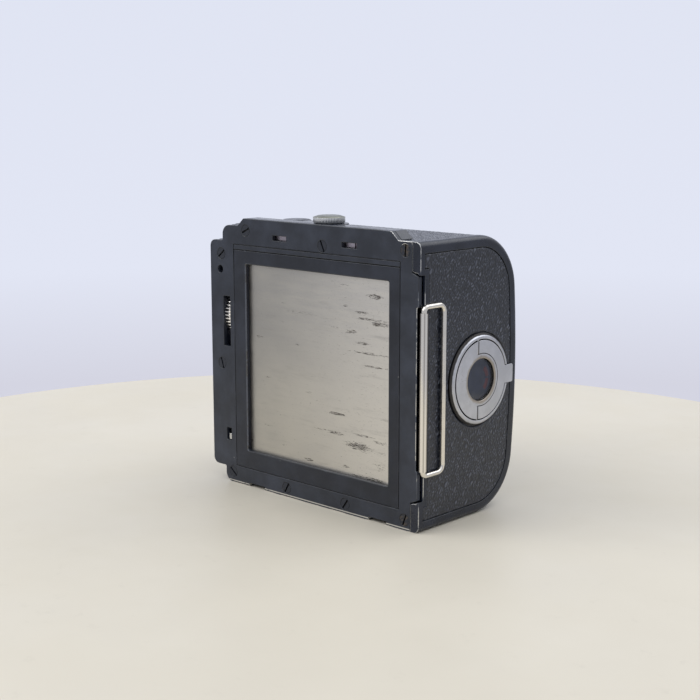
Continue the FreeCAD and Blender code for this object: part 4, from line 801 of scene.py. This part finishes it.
# ---------------------------------------------------------------- dials
def window_arc(name, start, end):
    """Thin raised red band on the window's dial, from start to end degrees about the key's axis."""
    low, thick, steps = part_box("window_dial")[1].x / MM, 0.03, 24
    vertices = []
    for k in range(steps + 1):
        a = math.radians(start + (end - start) * k / steps)
        for radius in (3.1, 4.5):
            for x in (low, low + thick):
                vertices.append((x, KEY_Y + radius * math.cos(a), KEY_Z + radius * math.sin(a)))
    faces = []
    for k in range(steps):
        a, b = 4 * k, 4 * k + 4
        for i, j in ((0, 1), (1, 3), (3, 2), (2, 0)):
            faces.append((a + i, a + j, b + j, b + i))
    faces.append((0, 2, 3, 1))
    last = 4 * steps
    faces.append((last, last + 1, last + 3, last + 2))
    obj = piece(name, vertices, faces, "dial_red", "film_holder", smooth=False)
    face_outward(obj)


window_arc("window_dial_arc_upper", 5, 50)
window_arc("window_dial_arc_lower", -50, -3)


def counter_marks():
    """Numbers 1 to 12 round the frame counter's dial."""
    face, middle_y, middle_z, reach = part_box("counter_dial")[0].x / MM, 12.5, 24.0, 4.5
    for number in range(12):
        a = math.radians(90 - 30 * number)
        text = bpy.data.curves.new(f"number_{number + 1}", "FONT")
        text.body, text.size, text.align_x, text.align_y = str(number + 1), 2.3 * MM, "CENTER", "CENTER"
        text.extrude = 0.02 * MM
        shape = bpy.data.objects.new(f"counter_number_{number + 1}", text)
        bpy.context.scene.collection.objects.link(shape)
        out = Vector((0, math.cos(a), math.sin(a)))
        facing = Vector((-1, 0, 0))
        right = out.cross(facing)
        turn = np.eye(4)
        for column, axis in enumerate((right, out, facing)):
            turn[:3, column] = axis
        turn[:3, 3] = (face * MM, (middle_y + reach * out.y) * MM, (middle_z + reach * out.z) * MM)
        mesh = bpy.data.meshes.new_from_object(shape)
        points = np.array([v.co for v in mesh.vertices])
        points = points @ turn[:3, :3].T + turn[:3, 3]
        bpy.data.objects.remove(shape)
        faces = [tuple(p.vertices) for p in mesh.polygons]
        name = f"counter_number_{number + 1}"
        piece(name, points / MM, faces, "dial_white", "counter", smooth=False)
        bpy.data.meshes.remove(mesh)


counter_marks()


# ---------------------------------------------------------------- stage, light and camera, in metres
CAMERA = Vector((0.26053, -0.26119, 0.07402))
LOOK = Vector((-0.67491, 0.71536, -0.18099))
LENS = 68.087
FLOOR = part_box("front_frame")[0].z
TABLE_MIDDLE, TABLE_RADIUS = (0.0078, -0.0015), 0.203
ROOM, SKY = (0.53, 0.54, 0.585, 1), (1.0, 1.02, 1.07, 1)     # the room's walls and the light overhead


def table():
    """Round cream table top whose far edge stands against the backdrop."""
    steps, round_edge = 256, 0.002
    rows = [(TABLE_RADIUS - round_edge, 0.0), (TABLE_RADIUS - 0.3 * round_edge, -0.3 * round_edge)]
    rows += [(TABLE_RADIUS, -round_edge), (TABLE_RADIUS, -0.02)]
    vertices = []
    for radius, z in rows:
        for k in range(steps):
            a = 2 * math.pi * k / steps
            x, y = TABLE_MIDDLE[0] + radius * math.cos(a), TABLE_MIDDLE[1] + radius * math.sin(a)
            vertices.append((x, y, FLOOR + z))
    faces = [tuple(range(steps))]
    for row in range(len(rows) - 1):
        for k in range(steps):
            a, b = row * steps + k, row * steps + (k + 1) % steps
            faces.append((a, a + steps, b + steps, b))
    mesh = bpy.data.meshes.new("table_top")
    mesh.from_pydata(vertices, [], faces)
    obj = bpy.data.objects.new("table_top", mesh)
    bpy.context.scene.collection.objects.link(obj)
    p = Paint("table_cream")
    tone = p.mix(p.step(p.noise(0.012, 4, 0.6), 0.3, 0.75), (0.61, 0.57, 0.48), (0.645, 0.605, 0.515))
    stains = p.step(p.noise(0.16, 5, 0.7), 0.60, 0.74)
    tone = p.mix(p.math("MULTIPLY", stains, 0.22), tone, (0.50, 0.465, 0.39))
    gloss = p.step(p.noise(0.03, 4, 0.6), 0.3, 0.7, 0.40, 0.55)
    normal = p.bump(p.noise(0.7, 3), 0.01, 0.3)
    mesh.materials.append(p.finish(color=tone, rough=gloss, normal=normal, specular=0.35))


def backdrop():
    """World light: a bluish white sheet behind the object and above it, and a dimmer room elsewhere."""
    world = bpy.data.worlds.new("studio")
    bpy.context.scene.world = world
    world.use_nodes = True
    tree = world.node_tree
    tree.nodes.clear()

    def node(kind, inputs=None, **settings):
        new = tree.nodes.new(kind)
        for key, value in settings.items():
            setattr(new, key, value)
        for key, value in (inputs or {}).items():
            if isinstance(value, bpy.types.NodeSocket):
                tree.links.new(value, new.inputs[key])
            else:
                new.inputs[key].default_value = value
        return new

    direction = node("ShaderNodeTexCoord").outputs["Generated"]
    height = node("ShaderNodeSeparateXYZ", {0: direction}).outputs["Z"]
    ahead = Vector((LOOK.x, LOOK.y, 0)).normalized()
    toward = node("ShaderNodeVectorMath", {0: direction, 1: ahead}, operation="DOT_PRODUCT").outputs["Value"]
    lifted = node("ShaderNodeMath", {0: height, 1: 0.2}, operation="ADD").outputs[0]
    ramp = node("ShaderNodeValToRGB", {0: lifted})
    stops = ramp.color_ramp.elements
    stops[0].position, stops[0].color = 0.0, (0.66, 0.665, 0.76, 1)
    stops[1].position, stops[1].color = 1.0, (0.70, 0.74, 0.86, 1)
    stops.new(0.08).color = (0.76, 0.79, 0.905, 1)
    smooth = {"interpolation_type": "SMOOTHSTEP"}
    behind = node("ShaderNodeMapRange", {0: toward, 1: 0.55, 2: 0.9}, **smooth).outputs[0]
    above = node("ShaderNodeMapRange", {0: height, 1: 0.25, 2: 0.75}, **smooth).outputs[0]
    room = node("ShaderNodeMix", data_type="RGBA")
    room.inputs[6].default_value, room.inputs[7].default_value = ROOM, SKY
    tree.links.new(above, room.inputs[0])
    whole = node("ShaderNodeMix", data_type="RGBA")
    for index, value in ((0, behind), (6, room.outputs[2]), (7, ramp.outputs[0])):
        tree.links.new(value, whole.inputs[index])
    light = node("ShaderNodeBackground", {"Color": whole.outputs[2], "Strength": 1.0})
    node("ShaderNodeOutputWorld", {"Surface": light.outputs[0]})


def lamp(name, place, size, power, color):
    """Square soft light that points at the object."""
    light = bpy.data.lights.new(name, "AREA")
    light.shape, light.size, light.energy, light.color = "SQUARE", size, power, color
    obj = bpy.data.objects.new(name, light)
    bpy.context.scene.collection.objects.link(obj)
    obj.location = place
    obj.rotation_euler = (-Vector(place)).to_track_quat("-Z", "Y").to_euler()


def camera():
    """The photograph's viewpoint."""
    data = bpy.data.cameras.new("camera")
    data.lens, data.sensor_width, data.clip_start = LENS, 36.0, 0.01
    obj = bpy.data.objects.new("camera", data)
    bpy.context.scene.collection.objects.link(obj)
    obj.location = CAMERA
    obj.rotation_euler = LOOK.to_track_quat("-Z", "Y").to_euler()
    bpy.context.scene.camera = obj


table()
backdrop()
lamp("key_light", (-0.55, -0.75, 0.85), 0.9, 6.2, (1.0, 0.99, 0.975))
lamp("rim_light", (0.3, 0.7, 0.9), 1.0, 3.6, (0.97, 0.98, 1.0))
camera()
bpy.context.scene.view_settings.view_transform = "Standard"
